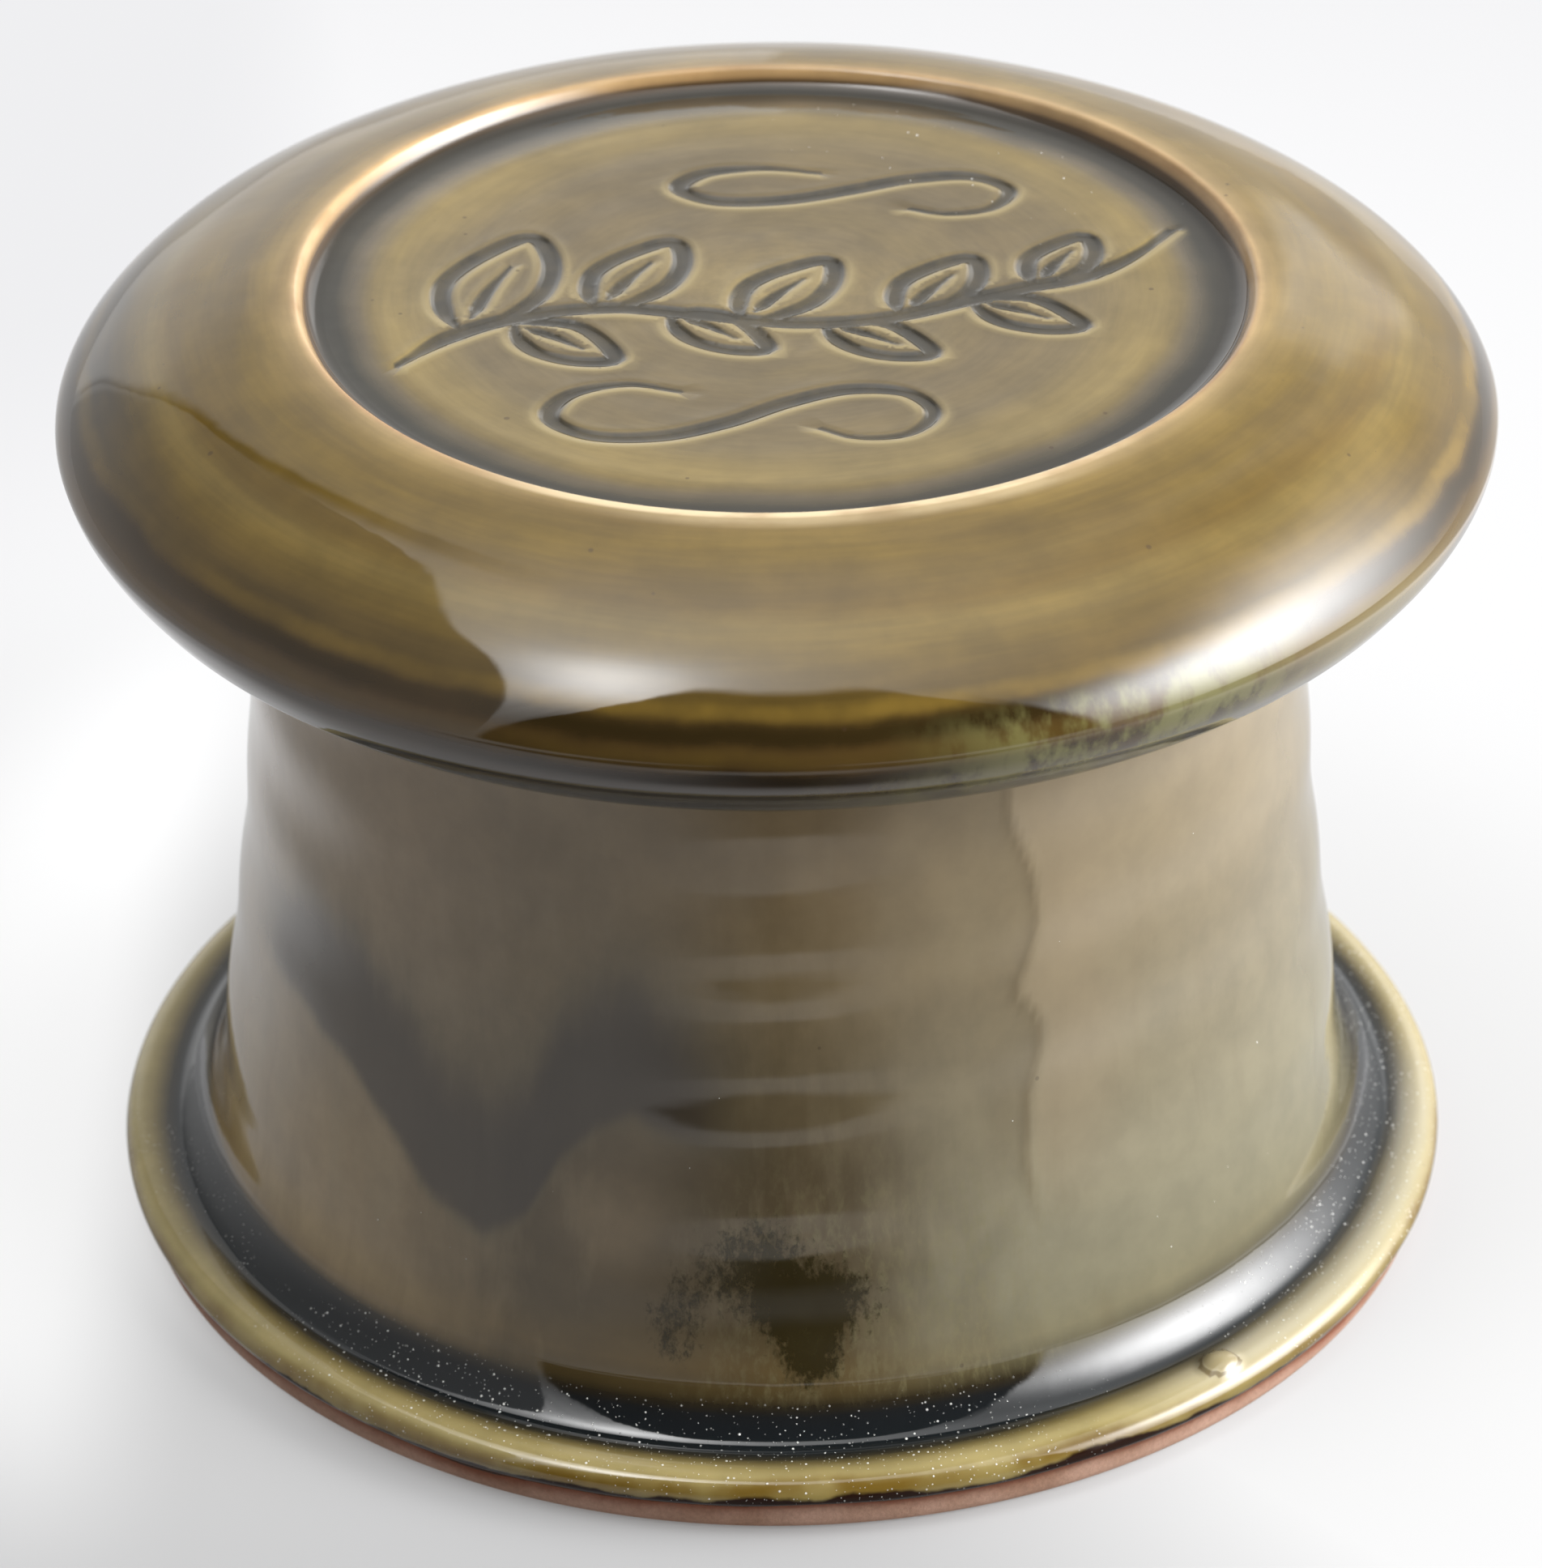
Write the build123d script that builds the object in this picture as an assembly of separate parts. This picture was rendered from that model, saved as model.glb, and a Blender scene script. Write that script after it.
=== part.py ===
from build123d import *
import math
import os

# Water-seal butter crock in glazed stoneware, millimetres.
# Frame: origin at the centre of the plane the foot stands on, +Z up.
# Three thrown pieces: the pot, the lid, and the cup luted under the lid.

# ---- driving dimensions ----------------------------------------------------
overall_h = 86.0        # foot plane to the crest of the lid's ring, lid on

# lid
lid_r = 60.0            # widest point of the lid
lid_widest_z = 75.0
crest_r = 40.0          # raised crest round the recessed panel
crest_land = 0.8        # width of the flat on the crest
shoulder_power = 1.54   # 1 would be a straight cone, 2 a quarter ellipse
panel_z = 84.6          # recessed panel
trough_z = 84.35        # shallow trough just inside the crest
lip_r = 56.2            # lowest point of the rolled edge
lip_z = 69.4
seat_z = 77.0           # flat under the lid that sits on the pot's rim
seat_r = 48.6
ceiling_z = 78.8        # underside of the panel, inside the cup

# cup under the lid
bell_r_top = 36.3
bell_r_mouth = 35.2
bell_lute_r = 37.4      # fillet of slip where the cup meets the lid
bell_wall = 3.9
bell_mouth_z = 24.0

# pot
rim_gap = 0.05          # lid seat to pot rim
rim_r_out = 46.9
rim_r_in = 41.7
foot_r = 58.4           # widest point of the foot's rounded rim
foot_widest_z = 3.9
clay_r = 57.35          # bare clay band under the glaze line
groove_r = 54.0         # concave groove between wall and foot rim
groove_z = 5.3
floor_z = 6.8           # inside floor, at the centre
foot_recess_r = 43.0    # the underside is trimmed hollow inside this radius
foot_recess_h = 1.4

# outside of the pot's wall, radius at each height
wall_outer = [
    (52.7, 5.85), (51.5, 6.75), (50.65, 8.1), (50.0, 9.9), (49.5, 12.4), (48.95, 16.0),
    (47.35, 27.2), (45.95, 38.4), (45.2, 49.6), (45.2, 60.8), (46.1, 70.0),
]
# inside of the pot's wall, from the rim down to the floor
wall_inner = [
    (40.95, 69.0), (40.45, 58.0), (40.45, 48.0), (40.85, 38.0), (41.6, 28.0),
    (41.9, 19.0), (40.6, 12.2), (36.6, 8.4), (30.0, 7.25),
]

os.makedirs("parts", exist_ok=True)


def eased(*pts, steps=6):
    """Centripetal Catmull-Rom curve through pts, sampled finely enough to interpolate without ripples."""
    pts = [p for i, p in enumerate(pts) if i == 0 or math.dist(p, pts[i - 1]) > 1e-6]
    ends = [tuple(2 * a - b for a, b in zip(pts[0], pts[1]))], [tuple(2 * a - b for a, b in zip(pts[-1], pts[-2]))]
    q = ends[0] + pts + ends[1]
    out = []
    for i in range(1, len(q) - 2):
        p0, p1, p2, p3 = q[i - 1:i + 3]
        t = [0.0]
        for a, b in ((p0, p1), (p1, p2), (p2, p3)):
            t.append(t[-1] + math.dist(a, b) ** 0.5)
        for k in range(steps):
            u = t[1] + (t[2] - t[1]) * k / steps

            def mix(a, b, ta, tb):
                return tuple(((tb - u) * x + (u - ta) * y) / (tb - ta) for x, y in zip(a, b))

            a1, a2, a3 = mix(p0, p1, t[0], t[1]), mix(p1, p2, t[1], t[2]), mix(p2, p3, t[2], t[3])
            b1, b2 = mix(a1, a2, t[0], t[2]), mix(a2, a3, t[1], t[3])
            out.append(mix(b1, b2, t[1], t[2]))
    return out + [pts[-1]]


def superellipse(r0, z0, r1, z1, power, n=14):
    """Points from (r0, z0), level there, to (r1, z1), upright there."""
    pts = []
    for i in range(n + 1):
        t = math.pi / 2 * i / n
        s, c = math.sin(t), math.cos(t)
        pts.append((r0 + (r1 - r0) * s ** (2 / power), z1 + (z0 - z1) * c ** (2 / power)))
    return pts


# ---- pot ---------------------------------------------------------------------
rim_z = seat_z - rim_gap
with BuildPart() as pot:
    with BuildSketch(Plane.XZ):
        with BuildLine():
            # trimmed underside and the annulus the pot stands on
            Polyline((0, foot_recess_h), (foot_recess_r, foot_recess_h),
                     (foot_recess_r + 1.6, 0), (clay_r - 0.95, 0))
            # softened clay edge, bare band, glazed rim roll, groove, wall
            Spline(*eased((clay_r - 0.95, 0), (clay_r - 0.3, 0.25), (clay_r, 1.0), (clay_r + 0.1, 2.2),
                          (foot_r - 0.5, 3.0), (foot_r, foot_widest_z), (foot_r - 0.5, 4.95),
                          (foot_r - 1.8, 5.5), (foot_r - 3.2, 5.45), (groove_r, groove_z),
                          *wall_outer, (rim_r_out, rim_z - 2.0), (rim_r_out - 0.35, rim_z - 0.6),
                          (rim_r_out - 1.4, rim_z)))
            Line((rim_r_out - 1.4, rim_z), (rim_r_in + 1.5, rim_z))
            Spline(*eased((rim_r_in + 1.5, rim_z), (rim_r_in + 0.4, rim_z - 0.5),
                          (rim_r_in, rim_z - 1.9), *wall_inner, (15.0, floor_z + 0.1), (0, floor_z)))
            Line((0, floor_z), (0, foot_recess_h))
        make_face()
    revolve(axis=Axis.Z)
crock_body = pot.part

# ---- lid ---------------------------------------------------------------------
with BuildPart() as lid:
    with BuildSketch(Plane.XZ):
        with BuildLine():
            half = crest_land / 2
            Line((0, panel_z), (33.0, panel_z))
            # shallow trough, then up the inside of the crest
            Spline(*eased((33.0, panel_z), (34.6, trough_z + 0.1), (36.4, trough_z),
                          (37.9, trough_z + 0.12), (38.7, trough_z + 0.65),
                          (39.1, overall_h - 0.35), (crest_r - half, overall_h)))
            Line((crest_r - half, overall_h), (crest_r + half, overall_h))
            Spline(*eased(*superellipse(crest_r + half, overall_h, lid_r, lid_widest_z, shoulder_power),
                          steps=3))
            # rolled edge tucks under to the lip, then up inside to the seat
            Spline(*eased((lid_r, lid_widest_z), (lid_r - 0.35, lid_widest_z - 1.4),
                          (lid_r - 1.05, lid_widest_z - 2.8), (lid_r - 2.1, lid_widest_z - 4.3),
                          (lid_r - 3.0, lip_z + 0.25), (lip_r, lip_z), (lip_r - 0.9, lip_z + 0.2),
                          (54.3, 70.6), (53.2, 72.4), (51.9, 74.6), (50.3, 76.3),
                          (seat_r, seat_z)))
            Polyline((seat_r, seat_z), (32.6, seat_z), (31.2, ceiling_z), (0, ceiling_z),
                     (0, panel_z))
        make_face()
    revolve(axis=Axis.Z)
lid_cap = lid.part

# ---- cup under the lid -------------------------------------------------------
in_top = bell_r_top - bell_wall
in_mouth = bell_r_mouth - bell_wall
with BuildPart() as bell:
    with BuildSketch(Plane.XZ):
        with BuildLine():
            Line((32.6, seat_z), (bell_lute_r, seat_z))
            Spline(*eased((bell_lute_r, seat_z), (bell_lute_r - 0.7, seat_z - 0.7),
                          (bell_r_top, seat_z - 2.2), (bell_r_top - 0.15, seat_z - 7.0),
                          (bell_r_mouth + 0.35, 50.0), (bell_r_mouth, 34.0), (bell_r_mouth, 26.2),
                          (bell_r_mouth - 0.6, bell_mouth_z + 0.6),
                          (bell_r_mouth - 1.9, bell_mouth_z)))
            Spline(*eased((bell_r_mouth - 1.9, bell_mouth_z), (in_mouth + 0.6, bell_mouth_z + 0.6),
                          (in_mouth, 26.0), (in_mouth + 0.1, 34.0), (in_mouth + 0.4, 50.0),
                          (in_top - 0.1, seat_z - 6.0), (32.6, seat_z)))
        make_face()
    revolve(axis=Axis.Z)
butter_bell = bell.part

for node, shape in {
    "crock_body": crock_body,
    "lid_cap": lid_cap,
    "butter_bell": butter_bell,
}.items():
    export_step(shape, f"parts/{node}.step")
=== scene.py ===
import bpy
import bmesh
import math
import numpy as np
from mathutils import Vector, Matrix, noise, geometry


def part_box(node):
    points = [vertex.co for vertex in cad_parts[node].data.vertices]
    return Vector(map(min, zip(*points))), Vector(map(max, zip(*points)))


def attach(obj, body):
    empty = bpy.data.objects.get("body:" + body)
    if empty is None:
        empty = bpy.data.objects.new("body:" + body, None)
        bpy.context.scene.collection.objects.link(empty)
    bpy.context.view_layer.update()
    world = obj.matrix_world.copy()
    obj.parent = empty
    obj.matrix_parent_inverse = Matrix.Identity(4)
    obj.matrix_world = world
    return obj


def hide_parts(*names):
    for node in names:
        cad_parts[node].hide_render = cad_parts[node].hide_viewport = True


# Glazed stoneware butter crock: pot, lid, and the cup luted under the lid.
# Everything below is worked out in millimetres and written in metres, in the frame of the CAD.
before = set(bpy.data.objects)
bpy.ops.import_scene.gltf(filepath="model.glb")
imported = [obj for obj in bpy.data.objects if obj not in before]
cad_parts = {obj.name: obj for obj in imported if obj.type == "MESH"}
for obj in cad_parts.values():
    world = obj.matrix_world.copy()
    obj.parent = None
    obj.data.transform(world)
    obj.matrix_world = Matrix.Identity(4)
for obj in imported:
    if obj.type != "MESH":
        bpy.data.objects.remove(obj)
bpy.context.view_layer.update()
POT_LO, POT_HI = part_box("crock_body")
LID_LO, LID_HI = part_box("lid_cap")
BELL_LO, BELL_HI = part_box("butter_bell")
H = LID_HI.z * 1000.0                     # crest of the lid
LID_R = round(max(LID_HI.x, LID_HI.y) * 1000.0, 2)
SEAT = BELL_HI.z * 1000.0                 # underside of the lid, on the rim
RIM = POT_HI.z * 1000.0
FOOT_R = round(max(POT_HI.x, POT_HI.y) * 1000.0, 2)
MOUTH = BELL_LO.z * 1000.0
LIP = LID_LO.z * 1000.0
rng = np.random.default_rng(7)


# ---------------------------------------------------------------- curves
def eased(*pts, steps=10):
    """Centripetal Catmull-Rom through the points."""
    pts = [tuple(map(float, p)) for p in pts]
    pts = [p for i, p in enumerate(pts) if i == 0 or math.dist(p, pts[i - 1]) > 1e-6]
    q = [tuple(2 * a - b for a, b in zip(pts[0], pts[1]))] + pts + [tuple(2 * a - b for a, b in zip(pts[-1], pts[-2]))]
    out = []
    for i in range(1, len(q) - 2):
        p0, p1, p2, p3 = q[i - 1:i + 3]
        t = [0.0]
        for a, b in ((p0, p1), (p1, p2), (p2, p3)):
            t.append(t[-1] + max(math.dist(a, b), 1e-9) ** 0.5)
        for k in range(steps):
            u = t[1] + (t[2] - t[1]) * k / steps

            def mix(a, b, ta, tb):
                return tuple(((tb - u) * x + (u - ta) * y) / (tb - ta) for x, y in zip(a, b))

            a1, a2, a3 = mix(p0, p1, t[0], t[1]), mix(p1, p2, t[1], t[2]), mix(p2, p3, t[2], t[3])
            b1, b2 = mix(a1, a2, t[0], t[2]), mix(a2, a3, t[1], t[3])
            out.append(mix(b1, b2, t[1], t[2]))
    return out + [pts[-1]]


def superellipse(r0, z0, r1, z1, power, n=40):
    pts = []
    for i in range(n + 1):
        t = math.pi / 2 * i / n
        s, c = math.sin(t), math.cos(t)
        pts.append((r0 + (r1 - r0) * s ** (2 / power), z1 + (z0 - z1) * c ** (2 / power)))
    return pts


def join(*parts):
    out = []
    for p in parts:
        for q in p:
            q = (float(q[0]), float(q[1]))
            if not out or math.dist(q, out[-1]) > 1e-5:
                out.append(q)
    return np.array(out)


def arc_of(P):
    return np.concatenate([[0.0], np.cumsum(np.hypot(*np.diff(P, axis=0).T))])


def resample(P, step_at, s0=0.0):
    """Points along P whose spacing is step_at(arc). s0 is the arc value at P's first point."""
    s = arc_of(P) + s0
    out = [s[0]]
    while True:
        nxt = out[-1] + step_at(out[-1])
        if nxt >= s[-1] - 0.4 * step_at(out[-1]):
            break
        out.append(nxt)
    out.append(s[-1])
    out = np.array(out)
    return np.stack([np.interp(out, s, P[:, 0]), np.interp(out, s, P[:, 1])], -1), out


def sstep(a, b, x):
    t = np.clip((np.asarray(x, float) - a) / (b - a), 0, 1)
    return t * t * (3 - 2 * t)


def bump(x, c, w):
    return np.exp(-((np.asarray(x, float) - c) / w) ** 2)


def wrap(d):
    return (np.asarray(d, float) + 180.0) % 360.0 - 180.0


def field(seed, freq, XYZ, octaves=3):
    """Smooth repeatable noise in about -1..1 at points in millimetres."""
    off = Vector((seed * 17.31, seed * -9.7, seed * 5.13))
    f = np.empty(len(XYZ))
    for i, p in enumerate(XYZ):
        f[i] = noise.fractal(Vector((p[0] * freq[0], p[1] * freq[1], p[2] * freq[2])) + off, 0.6, 2.1, octaves)
    return f


# ---------------------------------------------------------------- profiles (radius, height)
clay_r = FOOT_R - 1.05
wall_outer = [(53.45, 5.44), (53.0, 5.68), (52.6, 5.98), (51.9, 6.6), (51.25, 7.3), (50.75, 8.0), (50.35, 8.75), (50.05, 9.6), (49.5, 12.4), (48.95, 16.0),
              (47.35, 27.2), (45.95, 38.4), (45.2, 49.6), (45.2, 60.8), (46.1, 70.0)]
wall_inner = [(40.95, 69.0), (40.45, 58.0), (40.45, 48.0), (40.85, 38.0), (41.6, 28.0),
              (41.9, 19.0), (40.6, 12.2), (36.6, 8.4), (30.0, 7.25)]
pot_under = join([(0, 1.4), (15, 1.4), (42.6, 1.4)],
                 eased((42.6, 1.4), (43.2, 1.3), (43.8, 0.75), (44.3, 0.2), (45.0, 0.0)), [(55.6, 0.0)])
pot_outer = join(eased((clay_r - 1.75, 0), (clay_r - 0.95, 0.02), (clay_r - 0.3, 0.25), (clay_r, 1.0), (clay_r + 0.1, 2.2),
                       (FOOT_R - 0.5, 3.0), (FOOT_R, 3.9), (FOOT_R - 0.5, 4.95), (FOOT_R - 1.8, 5.5),
                       (FOOT_R - 3.2, 5.45), (54.0, 5.3), *wall_outer, (46.9, RIM - 2.0),
                       (46.55, RIM - 0.6), (45.5, RIM)))
pot_inner = join([(45.5, RIM), (43.2, RIM)],
                 eased((43.2, RIM), (42.1, RIM - 0.5), (41.7, RIM - 1.9), *wall_inner, (15.0, 6.9), (0, 6.8)))

panel_z = 84.6
lid_top = join([(0, panel_z), (33.0, panel_z)],
               eased((33.0, panel_z), (34.6, 84.45), (36.4, 84.35), (37.9, 84.45), (38.7, 84.85), (39.2, H - 0.55),
                     (39.5, H - 0.14), (39.75, H - 0.01), (40.0, H), (40.25, H - 0.015)),
               superellipse(40.15, H - 0.015, LID_R, 75.0, 1.54)[1:])
lid_edge = join(eased((LID_R, 75.0), (LID_R - 0.35, 73.6), (LID_R - 1.05, 72.2), (LID_R - 2.1, 70.7),
                      (LID_R - 3.0, LIP + 0.25), (56.2, LIP), (55.3, LIP + 0.2), (54.3, 70.6), (53.2, 72.4),
                      (51.9, 74.6), (50.3, 76.3), (48.6, SEAT)),
                [(47.0, SEAT), (36.0, SEAT), (32.9, SEAT)],
                eased((32.9, SEAT), (32.4, SEAT + 0.25), (31.6, 78.5), (30.9, 78.8), (30.0, 78.8)),
                [(0, 78.8)])

bell_out = join(eased((37.35, SEAT), (36.7, SEAT - 0.7), (36.3, SEAT - 2.2), (36.15, SEAT - 7.0), (35.55, 50.0),
                      (35.2, 34.0), (35.2, 26.2), (34.6, MOUTH + 0.6), (33.3, MOUTH)),
                eased((33.3, MOUTH), (31.9, MOUTH + 0.6), (31.3, 26.0), (31.4, 34.0), (31.7, 50.0), (32.3, SEAT - 6.0),
                      (32.6, SEAT)),
                [(32.6, SEAT), (34.0, SEAT), (36.0, SEAT), (37.35, SEAT)])


# ---------------------------------------------------------------- lathe mesh
def build_mesh(name, verts_mm, faces, attrs):
    me = bpy.data.meshes.new(name)
    v = np.asarray(verts_mm, np.float64) * 0.001
    me.vertices.add(len(v))
    me.vertices.foreach_set("co", v.astype(np.float32).ravel())
    loops = np.concatenate([np.asarray(f, np.int32) for f in faces])
    sizes = np.array([len(f) for f in faces], np.int32)
    me.loops.add(int(sizes.sum()))
    me.loops.foreach_set("vertex_index", loops)
    me.polygons.add(len(sizes))
    starts = np.concatenate([[0], np.cumsum(sizes)[:-1]]).astype(np.int32)
    me.polygons.foreach_set("loop_start", starts)
    me.polygons.foreach_set("loop_total", sizes)
    me.update(calc_edges=True)
    me.validate()
    for k, a in attrs.items():
        at = me.attributes.new(k, "FLOAT", "POINT")
        at.data.foreach_set("value", np.asarray(a, np.float32))
    bm = bmesh.new()
    bm.from_mesh(me)
    bmesh.ops.recalc_face_normals(bm, faces=bm.faces)
    bm.to_mesh(me)
    bm.free()
    me.polygons.foreach_set("use_smooth", np.ones(len(me.polygons), bool))
    ob = bpy.data.objects.new(name, me)
    bpy.context.scene.collection.objects.link(ob)
    return ob


def rings(P, s, n):
    """Grid of points for profile P at n angles: returns R, Z, PHI (degrees), S, each (len(P), n), and the outward normal."""
    ph = np.linspace(-180.0, 180.0, n, endpoint=False)
    d = np.gradient(P, axis=0)
    L = np.maximum(np.hypot(d[:, 0], d[:, 1]), 1e-9)
    nr, nz = d[:, 1] / L, -d[:, 0] / L
    o = np.ones(n)
    return (np.outer(P[:, 0], o), np.outer(P[:, 1], o), np.outer(np.ones(len(P)), ph), np.outer(s, o),
            np.outer(nr, o), np.outer(nz, o))


def xyz(R, Z, PHI):
    a = np.radians(PHI)
    return np.stack([R * np.sin(a), -R * np.cos(a), Z], -1)


def quads(rows, n, first=0):
    i = np.arange(rows - 1)[:, None] * n
    j = np.arange(n)[None, :]
    k = (j + 1) % n
    f = np.stack([i + j, i + k, i + n + k, i + n + j], -1).reshape(-1, 4) + first
    return [list(x) for x in f]


# ================================================================ ornament on the lid
def stroke(pts, w, steps=14, taper=(0.25, 0.35)):
    """A tapering tool stroke: centre line and half width."""
    c = np.array(eased(*pts, steps=steps))
    t = arc_of(c) / arc_of(c)[-1]
    n = max(8, int(arc_of(c)[-1] / 0.22))
    tt = np.linspace(0, 1, n)
    c = np.stack([np.interp(tt, t, c[:, 0]), np.interp(tt, t, c[:, 1])], -1)
    hw = w * (0.42 + 0.58 * np.minimum(sstep(0, taper[0], tt), sstep(0, taper[1], 1 - tt)))
    ang = np.arctan2(*np.gradient(c, axis=0).T[::-1])
    hw = hw * (0.90 + 0.16 * np.abs(np.sin(ang + 0.6)))       # a flat loop tool cuts wider one way
    return c, hw


STROKES = [
    # scroll at the back
    stroke([(4.0, 21.6), (-1.0, 22.6), (-6.2, 21.6), (-8.0, 19.0), (-5.4, 16.8), (0.5, 16.6), (6.5, 18.4), (12.0, 20.4),
            (17.0, 20.6), (20.0, 18.0), (18.4, 14.8), (14.6, 13.8), (11.4, 14.9)], 0.95),
    # scroll at the front
    stroke([(-7.6, -17.0), (-12.0, -15.8), (-16.6, -17.6), (-18.0, -21.2), (-15.0, -24.2), (-9.6, -24.6), (-4.0, -22.4),
            (1.0, -19.0), (6.0, -16.9), (10.6, -17.6), (12.6, -21.0), (10.6, -24.4), (6.6, -25.0), (3.6, -23.4)], 0.95),
    # stem of the sprig
    stroke([(-30.5, -12.4), (-26.5, -7.6), (-20.6, -4.0), (-13.5, -2.6), (-6.0, -3.9), (1.5, -5.4), (9.0, -4.7), (15.5, -2.0),
            (21.0, 0.4), (26.0, 2.2), (30.6, 6.4), (33.4, 10.6)], 1.1, taper=(0.10, 0.22)),
]


def leaf(x, y, ang, length, width, w=0.92, vein=True):
    """An almond leaf drawn as one looped stroke from its base, with a short vein."""
    a = math.radians(ang)
    ca, sa = math.cos(a), math.sin(a)

    def T(u, v):
        return (x + u * ca - v * sa, y + u * sa + v * ca)
    L, W = length, width
    out = [stroke([T(0, 0), T(0.16 * L, 0.30 * W), T(0.42 * L, 0.5 * W), T(0.74 * L, 0.36 * W), T(1.0 * L, 0.02 * W),
                   T(0.80 * L, -0.34 * W), T(0.46 * L, -0.48 * W), T(0.16 * L, -0.28 * W), T(0.02 * L, -0.02 * W)], w,
                  taper=(0.12, 0.16))]
    if vein:
        out.append(stroke([T(0.14 * L, 0), T(0.40 * L, 0.035 * W), T(0.70 * L, 0.0)], w * 0.72, taper=(0.2, 0.7)))
    return out


for args in [(-25.6, -6.6, 72, 17.5, 8.4), (-21.4, -5.2, -38, 10.5, 5.6), (-14.6, -2.8, 62, 13.4, 6.6),
             (-8.6, -3.4, -40, 10.2, 5.2), (-2.6, -4.8, 55, 12.6, 6.2), (4.0, -5.3, -34, 10.4, 5.2),
             (10.4, -4.2, 58, 11.6, 5.8), (16.2, -1.6, -30, 10.2, 5.0), (21.6, 0.8, 62, 9.6, 5.0)]:
    STROKES += leaf(*args)
SC = np.concatenate([c for c, _ in STROKES])
SW = np.concatenate([w for _, w in STROKES])


def stroke_field(XY):
    """Signed distance from the nearest stroke's edge (below 0 inside), that stroke's half width, and how much the point lies on its near side."""
    d = np.full(len(XY), 1e9)
    hw = np.zeros(len(XY))
    side = np.zeros(len(XY))
    for k in range(0, len(XY), 2000):
        q = XY[k:k + 2000]
        dx, dy = q[:, None, 0] - SC[None, :, 0], q[:, None, 1] - SC[None, :, 1]
        L = np.hypot(dx, dy)
        D = L - SW[None, :]
        j = D.argmin(1)
        i = np.arange(len(q))
        d[k:k + 2000] = D[i, j]
        hw[k:k + 2000] = SW[j]
        side[k:k + 2000] = -dy[i, j] / np.maximum(L[i, j], 1e-6)
    return d, hw, side


# ================================================================ shapes of the hand
def lobes(PHI, s, amp=1.0):
    """Slight out-of-roundness of a thrown and lifted piece, in mm."""
    a = np.radians(PHI)
    return amp * (-0.10 * np.cos(2 * a + 0.4) - 0.14 * (1 + np.sin(3 * a - 0.15)) + 0.03 * np.sin(5 * a + 1.0))


def spiral(S, PHI, lam, phase=0.0):
    return np.sin(2 * math.pi * (S / lam + PHI / 360.0) + phase)


# ---------------------------------------------------------------- lid
N_LID = 600
PANEL_R = 36.4


def lid_step(s):
    if 38.6 < s < 41.0:
        return 0.15
    if s < 41.6:
        return 0.24
    if s < 56:
        return 0.75
    if s < 72:
        return 0.5
    if s < 84:
        return 0.8
    return 1.6


top_all = join(lid_top, lid_edge)
s_all = arc_of(top_all)
N_TOP = len(lid_top)
S_PANEL = float(np.interp(PANEL_R, top_all[:N_TOP, 0], s_all[:N_TOP]))
keep = s_all > S_PANEL
Pl = np.vstack([[PANEL_R, float(np.interp(PANEL_R, top_all[:N_TOP, 0], top_all[:N_TOP, 1]))], top_all[keep]])
Pl, sl = resample(Pl, lid_step, S_PANEL)
Pl, sl = Pl[:-1], sl[:-1]                       # the last point is the axis
R, Z, PHI, S, NR, NZ = rings(Pl, sl, N_LID)
X = xyz(R, Z, PHI)
flat = X.reshape(-1, 3)
lump = field(3, (0.028, 0.028, 0.05), flat, 2).reshape(R.shape)
out_shoulder = sstep(41.5, 46.0, S) * (1 - sstep(66, 74, S))
disp = out_shoulder * (0.016 * spiral(S, PHI, 6.4, 0.7) + (0.12 - 0.07 * sstep(52, 60, S)) * lump)
seat_mask = (Z > SEAT - 0.02) & (S > 70)
under = sstep(74, 77, S) * (~seat_mask)
disp = disp + under * (0.05 * lump - 0.05)
dr = lobes(PHI, S, 1.0) * sstep(20, 40, R)
R2 = R + disp * NR + dr
Z2 = Z + disp * NZ
crest_wave = 0.05 * np.cos(np.radians(3 * PHI + 40)) * bump(S, 40.3, 2.2)
Z2 = np.minimum(Z2 - np.abs(crest_wave) * 0.5, H)
Z2 = np.where(seat_mask, Z, Z2)
R2 = np.minimum(R2, LID_R - 0.002)
rim_v = xyz(R2, Z2, PHI)

# panel: points follow the strokes, so the cuts stay crisp with few faces
pts = []
for c, hw in STROKES:
    t = np.gradient(c, axis=0)
    t /= np.maximum(np.hypot(*t.T)[:, None], 1e-9)
    nrm = np.stack([-t[:, 1], t[:, 0]], -1)
    keep_i = np.arange(0, len(c), 2)
    for f in (0.0, 0.35, 0.62, 0.85, 1.0):
        for sgn in ((1,) if f == 0 else (1, -1)):
            pts.append(c[keep_i] + sgn * f * hw[keep_i, None] * nrm[keep_i])
    for off in (0.22, 0.5, 0.85, 1.3):
        for sgn in (1, -1):
            pts.append(c[keep_i] + sgn * (hw[keep_i, None] + off) * nrm[keep_i])
near = np.concatenate(pts)
bg = []
for k in range(0, 60):
    rr = k * 0.62
    if rr > PANEL_R - 0.3:
        break
    m = max(1, int(2 * math.pi * rr / 0.62))
    a = np.arange(m) / m * 2 * math.pi + k * 0.37
    bg.append(np.stack([rr * np.cos(a), rr * np.sin(a)], -1))
bg = np.concatenate(bg)
dist_bg = stroke_field(bg)[0]
bg = bg[dist_bg > 1.5]
near = near[np.hypot(*near.T) < PANEL_R - 0.35]
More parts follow.
